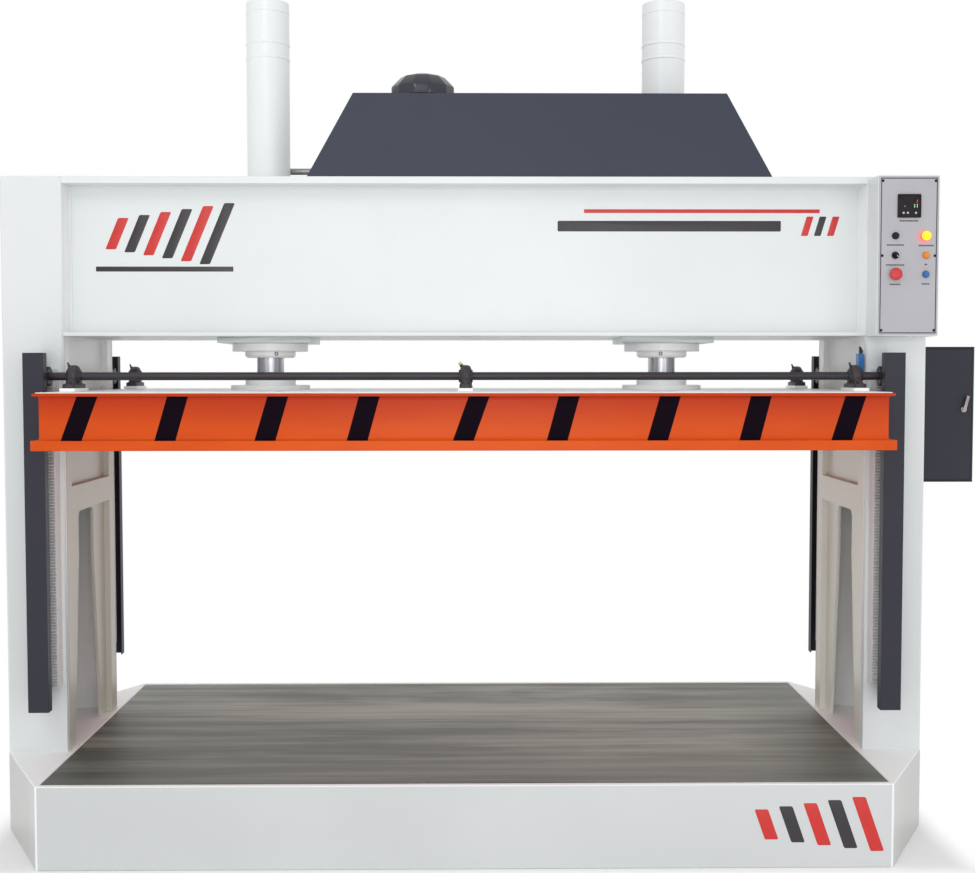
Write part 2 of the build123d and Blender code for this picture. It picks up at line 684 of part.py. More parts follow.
def trapezoid_tank(length_foot, length_top, depth, z0, z1):
    """A block whose ends slope, long foot below and short top."""
    outline = [
        (TANK_X - length_foot / 2, z0), (TANK_X + length_foot / 2, z0),
        (TANK_X + length_top / 2, z1), (TANK_X - length_top / 2, z1),
    ]
    face = make_face(Plane.XZ * Polyline(*outline, close=True))
    return Pos(0, TANK_Y + depth / 2, 0) * extrude(face, depth, dir=(0, -1, 0))


def make_tank():
    """The oil tank with its sloping ends and filler hole, and the twelve-sided lid over the hole."""
    slope = (TANK_FOOT_LENGTH - TANK_TOP_LENGTH) / TANK_HEIGHT
    inside_foot = TANK_FOOT_LENGTH - 2 * TANK_SHEET * sqrt(1 + (slope / 2) ** 2) - slope * TANK_SHEET
    inside_top = inside_foot - slope * (TANK_HEIGHT - 2 * TANK_SHEET)
    inside_low = COLUMN_TOP + TANK_SHEET
    inside_high = TANK_TOP - TANK_SHEET
    tank = trapezoid_tank(TANK_FOOT_LENGTH, TANK_TOP_LENGTH, TANK_DEPTH, COLUMN_TOP, TANK_TOP)
    tank -= trapezoid_tank(inside_foot, inside_top, TANK_DEPTH - 2 * TANK_SHEET, inside_low, inside_high)
    tank -= upright_cylinder(FILLER_DIAMETER, inside_high - OVERCUT, TANK_TOP + OVERCUT, LID_X, TANK_Y)
    add("oil_tank", tank)

    low = TANK_TOP + SEAT_GAP
    shoulder = low + LID_SKIRT
    skirt = extrude(twelve_sided(LID_ACROSS_FLATS), LID_SKIRT)
    lid = Pos(LID_X, TANK_Y, low) * skirt
    lid += Pos(LID_X, TANK_Y, shoulder) * lid_band(LID_ACROSS_FLATS, LID_SHOULDER_ACROSS, LID_SHOULDER)
    crown = lid_band(LID_SHOULDER_ACROSS, LID_CROWN_ACROSS, LID_CROWN)
    lid += Pos(LID_X, TANK_Y, shoulder + LID_SHOULDER) * crown
    spigot = FILLER_DIAMETER - 2 * FILLER_CLEARANCE
    lid += upright_cylinder(spigot, low - LID_SPIGOT, low, LID_X, TANK_Y)
    add("tank_lid", lid)


def twelve_sided(across_flats):
    """The lid's outline."""
    return RegularPolygon(across_flats / 2, LID_SIDES, major_radius=False)


def lid_band(foot_across, top_across, height):
    """A band of flat sloping facets round the lid."""
    slope = degrees(atan((foot_across - top_across) / 2 / height))
    return extrude(twelve_sided(foot_across), height, taper=slope)


def make_power_unit():
    """Motor, gear pump and valve block in a row on the crosshead, with the tank's and barrels' lines."""
    shaft_z = COLUMN_TOP + MOTOR_SHAFT_HEIGHT
    motor_end = MOTOR_X + MOTOR_LENGTH / 2
    on_top = Pos(MOTOR_X, MOTOR_Y, COLUMN_TOP)
    motor = cross_cylinder(MOTOR_DIAMETER, MOTOR_X - MOTOR_LENGTH / 2, motor_end, MOTOR_Y, shaft_z)
    motor += on_top * Box(MOTOR_FOOT_LENGTH, MOTOR_FOOT_WIDTH, MOTOR_FOOT_THICKNESS, align=LOW)
    motor += on_top * Box(MOTOR_FOOT_LENGTH, MOTOR_STOOL_WIDTH, MOTOR_SHAFT_HEIGHT, align=LOW)
    terminal_rise = MOTOR_DIAMETER / 2 + TERMINAL_BOX_RISE
    terminals = Box(TERMINAL_BOX_LENGTH, TERMINAL_BOX_DEPTH, terminal_rise, align=LOW)
    motor += Pos(MOTOR_X, MOTOR_Y, shaft_z) * terminals
    add("pump_motor", motor)

    pump_x = motor_end + BELL_LENGTH
    valve_x = pump_x + PUMP_LENGTH
    half = PUMP_SIZE / 2
    pump = cross_cylinder(BELL_DIAMETER, motor_end, pump_x, MOTOR_Y, shaft_z)
    pump += block(pump_x, valve_x, MOTOR_Y - half, MOTOR_Y + half, shaft_z - half, shaft_z + half)
    add("gear_pump", pump)

    valve_end = valve_x + VALVE_BLOCK_LENGTH
    rear = VALVE_BLOCK_FRONT_Y + VALVE_BLOCK_DEPTH
    block_top = COLUMN_TOP + VALVE_BLOCK_HEIGHT
    add("valve_block", block(valve_x, valve_end, VALVE_BLOCK_FRONT_Y, rear, COLUMN_TOP, block_top))

    on_block = Pos((valve_x + valve_end) / 2, (VALVE_BLOCK_FRONT_Y + rear) / 2, block_top)
    valve = on_block * Box(SOLENOID_VALVE_WIDTH, SOLENOID_VALVE_DEPTH, SOLENOID_VALVE_HEIGHT, align=LOW)
    coils = Rot(90, 0, 0) * Cylinder(COIL_DIAMETER / 2, SOLENOID_VALVE_DEPTH + 2 * COIL_LENGTH)
    add("solenoid_valve", valve + on_block * Pos(0, 0, SOLENOID_VALVE_HEIGHT / 2) * coils)

    tank_rear = TANK_FRONT_Y + TANK_DEPTH
    pipe_z = COLUMN_TOP + TANK_PIPE_RISE
    suction = facing_cylinder(TANK_PIPE_DIAMETER, pump_x + PUMP_LENGTH / 2, tank_rear, MOTOR_Y - half, pipe_z)
    middle = (valve_x + valve_end) / 2
    drain = facing_cylinder(TANK_PIPE_DIAMETER, middle, tank_rear, VALVE_BLOCK_FRONT_Y, pipe_z)
    add("tank_pipes", suction, drain)

    pipes = []
    for x, face in ((-CYLINDER_X, valve_x), (CYLINDER_X, valve_end)):
        port_bottom = BARREL_TOP - CAP_PORT_DROP - ELBOW_SIZE / 2
        pipes.append(elbow_line(x, face, port_bottom, COLUMN_TOP + CAP_LINE_RISE))
        pipes.append(elbow_line(x, face, SEAT_BOTTOM, COLUMN_TOP + ROD_LINE_RISE))
    add("pressure_pipes", *pipes)


def elbow_line(x, face, start_z, turn_z):
    """An upright pipe from a port to an elbow, and a level pipe from there to the valve block's face."""
    half = ELBOW_SIZE / 2
    low, high = sorted((start_z, turn_z))
    left, right = sorted((x, face))
    line = upright_cylinder(PIPE_DIAMETER, low, high, x, PIPE_Y)
    line += cross_cylinder(PIPE_DIAMETER, left, right, PIPE_Y, turn_z)
    return line + block(x - half, x + half, PIPE_Y - half, PIPE_Y + half, turn_z - half, turn_z + half)


def make_control_box():
    """The operator's box on the right column, its panel, meter, lamp, buttons, selector and stop."""
    x0 = COLUMN_INNER_X
    z0 = CONTROL_BOX_BOTTOM
    back_y = -COLUMN_FACE_Y
    front_y = back_y - CONTROL_BOX_DEPTH
    sheet = CONTROL_BOX_SHEET
    box = block(x0, x0 + CONTROL_BOX_WIDTH, front_y, back_y, z0, z0 + CONTROL_BOX_HEIGHT)
    for inset, near in ((sheet, front_y + sheet), (CONTROL_BOX_LIP, front_y - OVERCUT)):
        right = x0 + CONTROL_BOX_WIDTH - inset
        top = z0 + CONTROL_BOX_HEIGHT - inset
        box -= block(x0 + inset, right, near, back_y - sheet, z0 + inset, top)
    add("control_box", box)

    margin = PANEL_MARGIN
    panel = block(
        x0 + margin, x0 + CONTROL_BOX_WIDTH - margin, PANEL_FACE_Y, front_y,
        z0 + margin, z0 + CONTROL_BOX_HEIGHT - margin,
    )
    left = x0 + CONTROL_LEFT
    right = x0 + CONTROL_RIGHT
    rows = [z0 + height for height in CONTROL_ROW_HEIGHTS]
    places = {
        "start_button": (left, rows[0]), "power_lamp": (right, rows[0]), "mode_selector": (left, rows[1]),
        "up_button": (right, rows[1]), "emergency_stop": (left, rows[2]), "down_button": (right, rows[2]),
    }
    hole = BUTTON_DIAMETER + 2 * BUTTON_HOLE_CLEARANCE
    for x, z in places.values():
        panel -= facing_cylinder(hole, x, PANEL_FACE_Y - OVERCUT, front_y + OVERCUT, z)
    add("control_panel", panel)
    add("hour_meter", make_meter(x0 + CONTROL_BOX_WIDTH / 2, z0 + METER_HEIGHT_ON_PANEL))

    stem_end = PANEL_FACE_Y + BUTTON_STEM
    for name in ("start_button", "up_button", "down_button"):
        x, z = places[name]
        add(name, facing_cylinder(BUTTON_DIAMETER, x, PANEL_FACE_Y - BUTTON_PROUD, stem_end, z))

    x, z = places["power_lamp"]
    lamp = facing_cylinder(BUTTON_DIAMETER, x, PANEL_FACE_Y, stem_end, z)
    add("power_lamp", lamp + facing_cylinder(LAMP_DIAMETER, x, PANEL_FACE_Y - LAMP_PROUD, PANEL_FACE_Y, z))

    x, z = places["mode_selector"]
    face_y = PANEL_FACE_Y - SELECTOR_PROUD
    knob = facing_cylinder(BUTTON_DIAMETER, x, face_y, stem_end, z)
    length = sqrt(BUTTON_DIAMETER ** 2 - SELECTOR_GRIP_WIDTH ** 2) - SELECTOR_GRIP_MARGIN
    grip = Box(SELECTOR_GRIP_WIDTH, SELECTOR_GRIP_HEIGHT, length)
    grip_place = Pos(x, face_y - SELECTOR_GRIP_HEIGHT / 2, z) * Rot(0, -SELECTOR_TURN, 0)
    add("mode_selector", knob + grip_place * grip)

    x, z = places["emergency_stop"]
    head_y = PANEL_FACE_Y - STOP_GAP
    stop = facing_cylinder(STOP_DIAMETER, x, head_y - STOP_HEAD, head_y, z)
    add("emergency_stop", stop + facing_cylinder(BUTTON_DIAMETER, x, head_y, stem_end, z))


def make_meter(x, z):
    """A square panel meter: a face plate on the panel; its case starts behind the plate."""
    half = METER_SIZE / 2
    return block(x - half, x + half, PANEL_FACE_Y - METER_RIM, PANEL_FACE_Y, z - half, z + half)


def make_cabinet():
    """The electrical cabinet beside the right column: a lipped shell with a hinge post, and its door."""
    x0 = COLUMN_OUTER_X
    x1 = x0 + CABINET_WIDTH
    z0 = CABINET_BOTTOM
    z1 = z0 + CABINET_HEIGHT
    y0 = CABINET_FRONT_Y
    sheet = CABINET_SHEET
    lip = CABINET_LIP
    y1 = y0 + CABINET_DEPTH
    shell = block(x0, x1, y0, y1, z0, z1)
    shell -= block(x0 + sheet, x1 - sheet, y0 + sheet, y1 - sheet, z0 + sheet, z1 - sheet)
    shell -= block(x0 + HINGE_POST, x1 - lip, y0 - OVERCUT, y0 + sheet + OVERCUT, z0 + lip, z1 - lip)
    shell += block(x0, x0 + HINGE_POST - DOOR_GAP, DOOR_FACE_Y, y0, z0, z1)

    door_x = x0 + HINGE_POST
    door = block(door_x, x1, DOOR_FACE_Y, DOOR_BACK_Y, z0, z1)
    door = chamfer(door.faces().sort_by(Axis.Y)[0].edges(), DOOR_EDGE)
    thin = DOOR_SHEET
    inner_y = DOOR_FACE_Y + DOOR_EDGE
    door -= block(door_x + thin, x1 - thin, inner_y, DOOR_BACK_Y + OVERCUT, z0 + thin, z1 - thin)

    pin_x = door_x - DOOR_GAP / 2
    pin_y = DOOR_FACE_Y - HINGE_DIAMETER / 2
    leaf = HINGE_DIAMETER
    leaf_y = DOOR_FACE_Y - HINGE_LEAF
    pin_hole = HINGE_PIN + 2 * RUNNING_CLEARANCE
    for z in (z0 + HINGE_INSET, z1 - HINGE_INSET):
        low = z - KNUCKLE_LENGTH
        high = z + DOOR_GAP
        top = high + KNUCKLE_LENGTH
        shell += upright_cylinder(HINGE_DIAMETER, low, z, pin_x, pin_y)
        shell += block(pin_x - leaf, pin_x, leaf_y, DOOR_FACE_Y, low, z)
        shell += upright_cylinder(HINGE_PIN, low, top - PIN_SHORT, pin_x, pin_y)
        moving = upright_cylinder(HINGE_DIAMETER, high, top, pin_x, pin_y)
        moving += block(pin_x, door_x + DOOR_EDGE + leaf, leaf_y, DOOR_FACE_Y, high, top)
        door += moving - upright_cylinder(pin_hole, z - OVERCUT, top + OVERCUT, pin_x, pin_y)

    lock_x = x1 - LOCK_INSET
    lock_z = (z0 + z1) / 2 + LOCK_RISE
    stem_hole = LOCK_STEM + 2 * RUNNING_CLEARANCE
    door -= facing_cylinder(stem_hole, lock_x, DOOR_FACE_Y - OVERCUT, inner_y + OVERCUT, lock_z)
    add("cabinet_box", shell)
    add("cabinet_door", door)

    boss_y = DOOR_FACE_Y - LOCK_BOSS_THICKNESS
    cam_y = CABINET_FRONT_Y + CABINET_SHEET + CAM_GAP
    lock = facing_cylinder(LOCK_STEM, lock_x, DOOR_FACE_Y - SEAT_GAP, cam_y, lock_z)
    lock += facing_cylinder(LOCK_BOSS, lock_x, boss_y, DOOR_FACE_Y - SEAT_GAP, lock_z)
    half = CAM_WIDTH / 2
    cam_back = cam_y + CAM_THICKNESS
    lock += block(lock_x - half, lock_x + half, cam_y, cam_back, lock_z - CAM_LENGTH, lock_z + half)
    half = LEVER_WIDTH / 2
    lever = block(-half, half, boss_y - LEVER_THICKNESS, boss_y, -half, LEVER_LENGTH)
    add("cabinet_lock", lock + Pos(lock_x, 0, lock_z) * Rot(0, LEVER_LEAN, 0) * lever)


def make_limit_switch():
    """The switch on its bracket at the right column's inner edge, and the trip lever on its pin."""
    x1 = COLUMN_INNER_X
    x0 = x1 - BRACKET_THICKNESS
    y0 = BRACKET_FRONT_Y
    z0 = BRACKET_BOTTOM
    add("switch_bracket", block(x0, x1, y0, y0 + BRACKET_WIDTH, z0, z0 + BRACKET_HEIGHT))

    top = z0 + SWITCH_HEIGHT
    body = block(x0 - SWITCH_WIDTH, x0, y0, y0 + SWITCH_DEPTH, z0, top)
    lever_back = y0 + TRIP_LEVER_THICKNESS
    ear_y = lever_back + SEAT_GAP
    pin_x = x0 - SWITCH_WIDTH / 2
    pin_z = top + EAR_HEIGHT / 2
    half = EAR_WIDTH / 2
    body += block(pin_x - half, pin_x + half, ear_y, ear_y + EAR_THICKNESS, top, top + EAR_HEIGHT)
    body += facing_cylinder(TRIP_PIN, pin_x, y0, ear_y, pin_z)
    add("limit_switch", body)

    left = pin_x - TRIP_LEVER_WIDTH / 2
    right = left + TRIP_LEVER_WIDTH
    high = pin_z + TRIP_LEVER_REACH
    outline = [(left, pin_z), (right, pin_z), (left + TRIP_LEVER_TIP, high), (left, high)]
    face = make_face(Plane.XZ * Polyline(*outline, close=True))
    lever = Pos(0, lever_back, 0) * extrude(face, TRIP_LEVER_THICKNESS, dir=(0, -1, 0))
    lever += facing_cylinder(TRIP_HUB_DIAMETER, pin_x, y0, lever_back, pin_z)
    hole = TRIP_PIN + 2 * RUNNING_CLEARANCE
    add("switch_lever", lever - facing_cylinder(hole, pin_x, y0 - OVERCUT, lever_back + OVERCUT, pin_z))


make_base()
make_column(-1, "left")
make_column(1, "right")
make_crosshead()
make_cylinder(-CYLINDER_X, "left")
make_cylinder(CYLINDER_X, "right")
make_rams()
make_platen()
make_synchroniser()
make_tank()
make_power_unit()
make_control_box()
make_cabinet()
make_limit_switch()

os.makedirs("parts", exist_ok=True)
for node, shape in PARTS.items():
    export_step(shape, "parts/" + node + ".step")
    print(node)
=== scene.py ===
"""Dresses the platen press: finishes for the CAD nodes, and the small forms that the solids leave plain."""
import json
import math

import bmesh
import bpy
import numpy as np
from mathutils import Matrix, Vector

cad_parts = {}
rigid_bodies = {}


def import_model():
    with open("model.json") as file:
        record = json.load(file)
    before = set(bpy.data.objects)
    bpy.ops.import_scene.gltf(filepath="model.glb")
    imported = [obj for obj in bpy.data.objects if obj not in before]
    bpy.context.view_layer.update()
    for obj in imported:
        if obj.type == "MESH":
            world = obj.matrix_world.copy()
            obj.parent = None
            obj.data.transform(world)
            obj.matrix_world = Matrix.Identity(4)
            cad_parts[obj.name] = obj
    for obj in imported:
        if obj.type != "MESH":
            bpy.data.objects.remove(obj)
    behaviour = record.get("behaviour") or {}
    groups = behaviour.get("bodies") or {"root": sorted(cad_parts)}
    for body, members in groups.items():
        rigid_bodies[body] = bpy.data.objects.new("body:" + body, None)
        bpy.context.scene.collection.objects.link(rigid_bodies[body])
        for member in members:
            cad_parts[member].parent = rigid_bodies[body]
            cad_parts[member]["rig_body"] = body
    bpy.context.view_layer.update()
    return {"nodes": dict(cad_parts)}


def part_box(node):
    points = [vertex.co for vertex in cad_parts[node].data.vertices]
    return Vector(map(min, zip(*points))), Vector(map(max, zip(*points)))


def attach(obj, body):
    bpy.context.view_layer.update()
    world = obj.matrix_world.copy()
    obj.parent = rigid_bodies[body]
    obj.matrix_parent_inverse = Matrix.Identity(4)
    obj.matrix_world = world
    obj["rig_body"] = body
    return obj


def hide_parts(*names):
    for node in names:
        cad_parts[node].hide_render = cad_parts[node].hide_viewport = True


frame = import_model()

bl_info = {
    "name": "Platen Press",
    "version": (1, 0, 0),
    "blender": (4, 5, 0),
    "location": "View3D > Sidebar > Press",
    "description": "Dresses a two-cylinder platen press",
    "category": "Object",
}

X, Y, Z = np.eye(3)


# Places taken from the frame, in metres
def low(node):
    """A node's lowest corner."""
    return np.array(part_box(node)[0])


def high(node):
    """A node's highest corner."""
    return np.array(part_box(node)[1])


def middle(node):
    """The middle of a node's box."""
    return (low(node) + high(node)) / 2


def nodes_named(start):
    """The nodes whose names begin alike."""
    return [node for node in frame["nodes"] if node.startswith(start)]


COLUMN_FACE = -low("column_right")[1]
INNER_X = low("column_right")[0]
WEB_Y = low("crosshead_front_web")[1]
WEB_LOW = low("crosshead_front_web")[2]
WEB_HIGH = high("crosshead_front_web")[2]
BASE_FRONT = low("base_frame")[1]
CYLINDER_X = middle("barrel_right")[0]
BARREL_TOP = high("barrel_right")[2]
BARREL_RADIUS = 0.071
SHAFT_Z = middle("shaft_front")[2]
SHAFT_Y = -middle("shaft_front")[1]
SHAFT_RADIUS = high("shaft_front")[2] - SHAFT_Z
BORE_RADIUS = SHAFT_RADIUS + 0.0002
BLOCK_FOOT_WIDTH = 0.038
BLOCK_X = high("bearing_blocks")[0] - BLOCK_FOOT_WIDTH / 2
HUBS = [np.array([x, y, SHAFT_Z]) for x in (-BLOCK_X, 0.0, BLOCK_X) for y in (-SHAFT_Y, SHAFT_Y)]
RACK_TOOTH_DEPTH = 0.0068
RACK_ROOT = -low("rack_front_left")[1] - RACK_TOOTH_DEPTH
PLATE_EDGE = low("platen_plate")[1]
BEAM_SET_BACK, BEAM_FLANGE = 0.02, 0.008
BEAM_FACE = PLATE_EDGE + BEAM_SET_BACK
BEAM_LOW = high("platen_plate")[2]
BEAM_HIGH = high("platen_frame")[2] - BEAM_FLANGE
BEAM_ROOT = 0.012
PANEL_Y = low("control_panel")[1]

# Stage: the camera, fitted to the photograph, and the lamps (name, place, size, watts)
FOCAL_LENGTH, SENSOR_WIDTH = 48.68, 36
CAMERA_PLACE = (0.022, -4.4606, 1.4556)
CAMERA_TURN = (math.radians(90 - 2.723), 0.0005, math.radians(-0.636))
LAMPS = (
    ("key", (-1.3, -4.8, 4.2), 1.6, 28.0), ("left", (-2.6, -5.8, 1.6), 2.4, 4.0),
    ("right", (2.8, -5.8, 1.6), 2.4, 22.0), ("front", (0.0, -5.6, 1.6), 2.0, 42.0),
)
LAMPS_AIM_HEIGHT = 1.2
LIGHT_FROM_ALL_SIDES = 0.78


def on_panel(node):
    """The place on the panel's face where a control stands."""
    return middle(node) * (X + Z) + PANEL_Y * Y


# Shader maths
def maths(operation, other_first=False):
    """An operator of Wire: a Math node on it and another value, which comes first where so asked."""
    def method(self, *other):
        values = (*other, self) if other_first else (self, *other)
        return self.paint.node("Math", {"operation": operation}, *values)
    return method


class Wire:
    """A socket of a material's nodes, with the arithmetic that the finishes use."""

    __add__ = __radd__ = maths("ADD")
    __sub__ = maths("SUBTRACT")
    __rsub__ = maths("SUBTRACT", other_first=True)
    __mul__ = __rmul__ = maths("MULTIPLY")
    __pow__ = maths("POWER")
    __or__ = maths("MAXIMUM")
    __abs__ = maths("ABSOLUTE")

    def __init__(self, paint, socket):
        self.paint = paint
        self.socket = socket

    def ramp(self, start, end):
        """0 at start, 1 at end, smooth between."""
        return self.paint.node("MapRange", {"interpolation_type": "SMOOTHSTEP"}, self, start, end, 0.0, 1.0)


class Paint:
    """The nodes of a procedural material on object coordinates, or those of a world."""

    def __init__(self, name, world=None):
        self.material = world or bpy.data.materials.new(name)
        self.material.use_nodes = True
        self.tree = self.material.node_tree
        self.shader = self.tree.nodes["Background" if world else "Principled BSDF"]

    def node(self, kind, settings, *inputs, output=0, **named):
        """Any shader node: its settings first, then its inputs by order or by name."""
        made = self.tree.nodes.new("ShaderNode" + kind)
        for key, value in settings.items():
            setattr(made, key, value)
        for index, value in enumerate(inputs):
            self.feed(made.inputs[index], value)
        self.feed_named(made, named)
        return Wire(self, made.outputs[output])

    def feed(self, socket, value):
        """A link from a wire, or a plain value."""
        if isinstance(value, Wire):
            self.tree.links.new(value.socket, socket)
        else:
            socket.default_value = value

    def feed_named(self, node, values):
        """Feeds a node's inputs by name."""
        for key, value in values.items():
            self.feed(node.inputs[key.replace("_", " ")], value)

    def place(self):
        """The object coordinates."""
        return self.node("TexCoord", {}, output=3)

    def seen(self):
        """0, or at least 1 for rays from the camera, from glossy faces and through glass."""
        camera, glossy, transmission = 0, 3, 6
        return sum(self.node("LightPath", {}, output=index) for index in (camera, glossy, transmission))

    def axes(self, centre=(0, 0, 0)):
        """The three object coordinates, from a centre."""
        moved = self.node("VectorMath", {"operation": "SUBTRACT"}, self.place(), tuple(centre))
        made = self.tree.nodes.new("ShaderNodeSeparateXYZ")
        self.feed(made.inputs[0], moved)
        return [Wire(self, socket) for socket in made.outputs]

    def past_edge(self, node):
        """How far a place lies outside a node's outline in X and Z, so less than 0 within it."""
        across, _, up = self.axes(middle(node))
        half = (high(node) - low(node)) / 2
        return (abs(across) - half[0]) | (abs(up) - half[2])

    def noise(self, scale, detail=3.0, rough=0.5, stretch=(1, 1, 1)):
        """A noise value round one half, on coordinates stretched along each axis."""
        at = self.node("Mapping", {}, Vector=self.place(), Scale=stretch)
        return self.node("TexNoise", {}, Vector=at, Scale=scale, Detail=detail, Roughness=rough)

    def mix(self, mask, first, second):
        """One colour fading into another."""
        made = self.tree.nodes.new("ShaderNodeMix")
        made.data_type = "RGBA"
        for index, value in ((0, mask), (6, first), (7, second)):
            self.feed(made.inputs[index], value)
        return Wire(self, made.outputs[2])

    def bump(self, height, distance, strength=0.3):
        """A normal from a height."""
        return self.node("Bump", {}, Strength=strength, Distance=distance, Height=height)

    def orange_peel(self):
        """The faint ripple of sprayed enamel."""
        return self.bump(self.noise(420.0, 2.0), 0.0004, 0.1)

    def finish(self, **sockets):
        """Feeds the shader's inputs by name."""
        self.feed_named(self.shader, sockets)
        return self.material


def shown(red, green, blue):
    """A colour written as it shows, 0 to 255, as the shader's linear value."""
    part = np.array([red, green, blue]) / 255
    linear = np.where(part <= 0.04045, part / 12.92, ((part + 0.055) / 1.055) ** 2.4)
    return tuple(float(value) for value in linear) + (1.0,)


def scaled(colour, factor):
    """A lighter or darker colour."""
    return tuple(min(1.0, part * factor) for part in colour[:3]) + (1.0,)


# Finishes
def enamel(name, colour, gloss=0.3, grime=0.25, shine=0.5):
    """Sprayed enamel: faint clouding, orange peel, and dust that dulls it in patches."""
    paint = Paint(name)
    cloud = paint.noise(1.6, 4.0)
    dust = paint.noise(9.0, 5.0, 0.65)
    tint = paint.mix(cloud.ramp(0.3, 0.7), scaled(colour, 0.97), scaled(colour, 1.02))
    tint = paint.mix(dust.ramp(0.55, 0.8) * grime, tint, scaled(colour, 0.88))
    return paint.finish(
        Base_Color=tint, Roughness=dust * 0.16 + (gloss - 0.06), Normal=paint.orange_peel(),
        Specular_IOR_Level=shine, Coat_Weight=0.1 * shine, Coat_Roughness=0.15,
    )


def painted_light_enamel(name, upper, lower, heights, bounds=None, inner=None):
    """Enamel with painted light and shade: it fades from the lower to the upper colour between two heights,
    and takes the inner colour within |X|, |Y| and Z.
    """
    paint = Paint(name)
    across, depth, height = paint.axes()
    cloud = paint.noise(1.6, 4.0)
    # Painted shade and light: the colour changes with height for how light falls on the part, not in the
    # paint.
    tint = paint.mix(height.ramp(*heights), lower, upper)
    # Painted light: the inner colour is brighter, standing for light that reaches inside.
    if bounds:
        inside = (abs(across) - bounds[0]) | (abs(depth) - bounds[1]) | (height - bounds[2])
        tint = paint.mix(inside.ramp(-0.002, -0.003), tint, inner)
    tint = paint.mix(cloud.ramp(0.4, 0.8) * 0.3, tint, scaled(lower, 0.96))
    return paint.finish(Base_Color=tint, Roughness=cloud * 0.12 + 0.24, Normal=paint.orange_peel())


def base_enamel(name, colour):
    """The base's enamel: darker overall and greyer on its sides as painted shade, and pale on top and
    corners as a painted highlight.
    """
    paint = Paint(name)
    corner_x, top = 1.26, high("base_frame")[2]
    across, depth, height = paint.axes(top * Z)
    cloud = paint.noise(1.2, 4.0)
    # Painted highlight: bright lines along the corners and the top edge.
    corner = (abs(abs(across) - corner_x) | abs(abs(depth) - high("base_frame")[1])).ramp(0.006, 0.003)
    pale = height.ramp(-0.0035, -0.0015) | corner
    # Painted shade: the whole base darker than the frame's colour.
    tint = paint.mix(cloud.ramp(0.3, 0.7), scaled(colour, 0.78), scaled(colour, 0.84))
    # Painted shade: the slanted end faces darker and warmer.
    chamfer_shade = abs(across).ramp(corner_x + 0.004, corner_x + 0.012)
    tint = paint.mix(chamfer_shade * 0.5, tint, shown(196, 190, 187))
    tint = paint.mix(pale, tint, scaled(colour, 1.22))
    return paint.finish(Base_Color=tint, Roughness=cloud * 0.12 + 0.24, Normal=paint.orange_peel())


def rim_shaded_enamel(name, colour, node):
    """Dark enamel on a folded door: the same coat, darker along the folds round its edge as painted shade,
    where they face away from the light.
    """
    paint = Paint(name)
    rim = paint.past_edge(node).ramp(-0.014, -0.006)
    cloud = paint.noise(5.0, 4.0)
    tint = paint.mix(cloud.ramp(0.3, 0.7), scaled(colour, 0.94), scaled(colour, 1.06))
    # Painted shade along the door's folded rim.
    tint = paint.mix(rim * 0.9, tint, scaled(colour, 0.4))
    return paint.finish(
        Base_Color=tint, Roughness=cloud * 0.16 + 0.36, Normal=paint.orange_peel(),
        Specular_IOR_Level=0.2,
    )


def beam_enamel(name, bright, deep):
    """Orange enamel, redder and darker towards the top of the beams, as painted shade under the flange."""
    paint = Paint(name)
    height = paint.axes((0, 0, BEAM_LOW))[2]
    # Painted shade: the web darkens and reddens upwards, under the flange.
    shade = height.ramp(0.0, BEAM_HIGH - BEAM_LOW)
    cloud = paint.noise(2.2, 4.0, 0.55, (1, 1, 3))
    tint = paint.mix(shade, bright, deep)
    tint = paint.mix(cloud.ramp(0.4, 0.75) * 0.35, tint, scaled(deep, 0.9))
    return paint.finish(
        Base_Color=tint, Roughness=cloud * 0.2 + 0.26, Normal=paint.orange_peel(),
        Specular_IOR_Level=0.12, Coat_Weight=0.02, Coat_Roughness=0.1,
    )


def ground_plate(name, light, dark):
    """Ground plate: soft streaks along X, broad cloudy bands, finer lines and rubbed patches."""
    paint = Paint(name)
    band = paint.noise(2.4, 5.0, 0.6, (0.22, 2.6, 1.0))
    streak = paint.noise(7.0, 5.0, 0.62, (0.14, 3.4, 1.0))
    fine = paint.noise(26.0, 4.0, 0.7, (0.12, 5.0, 1.0))
    rubbed = paint.noise(1.9, 4.0, 0.6, (0.5, 1.4, 1.0))
    across, depth, _ = paint.axes()
    end = abs(across).ramp(0.85, 1.2)
    tint = paint.mix(band.ramp(0.34, 0.68), dark, light)
    tint = paint.mix(streak.ramp(0.4, 0.72) * 0.55, tint, scaled(dark, 0.9))
    tint = paint.mix(rubbed.ramp(0.52, 0.74) * 0.5, tint, scaled(light, 1.1))
    tint = paint.mix(fine.ramp(0.5, 0.78) * 0.35, tint, scaled(light, 1.2))
    tint = paint.mix((1 - depth.ramp(-0.62, -0.1)) * 0.55, tint, scaled(dark, 0.85))
    tint = paint.mix(end * rubbed.ramp(0.35, 0.65) * 0.4, tint, scaled(dark, 0.75))
    return paint.finish(
        Base_Color=tint, Metallic=0.3, Roughness=band * 0.2 + 0.38, Normal=paint.bump(fine, 0.0005, 0.1),
    )


def metal(name, colour, rough, metallic=1.0, stretch=(1, 1, 1), wear=0.35):
    """Plain metal: fine tool lines along one axis and duller, darker patches."""
    paint = Paint(name)
    line = paint.noise(40.0, 4.0, 0.65, stretch)
    patch = paint.noise(14.0, 4.0, 0.6)
    tint = paint.mix(line.ramp(0.35, 0.65), scaled(colour, 0.88), scaled(colour, 1.1))
    tint = paint.mix(patch.ramp(0.5, 0.75) * wear, tint, scaled(colour, 0.6))
    return paint.finish(
        Base_Color=tint, Metallic=metallic, Roughness=patch * 0.14 + (rough - 0.05),
        Normal=paint.bump(line, 0.0004, 0.12),
    )


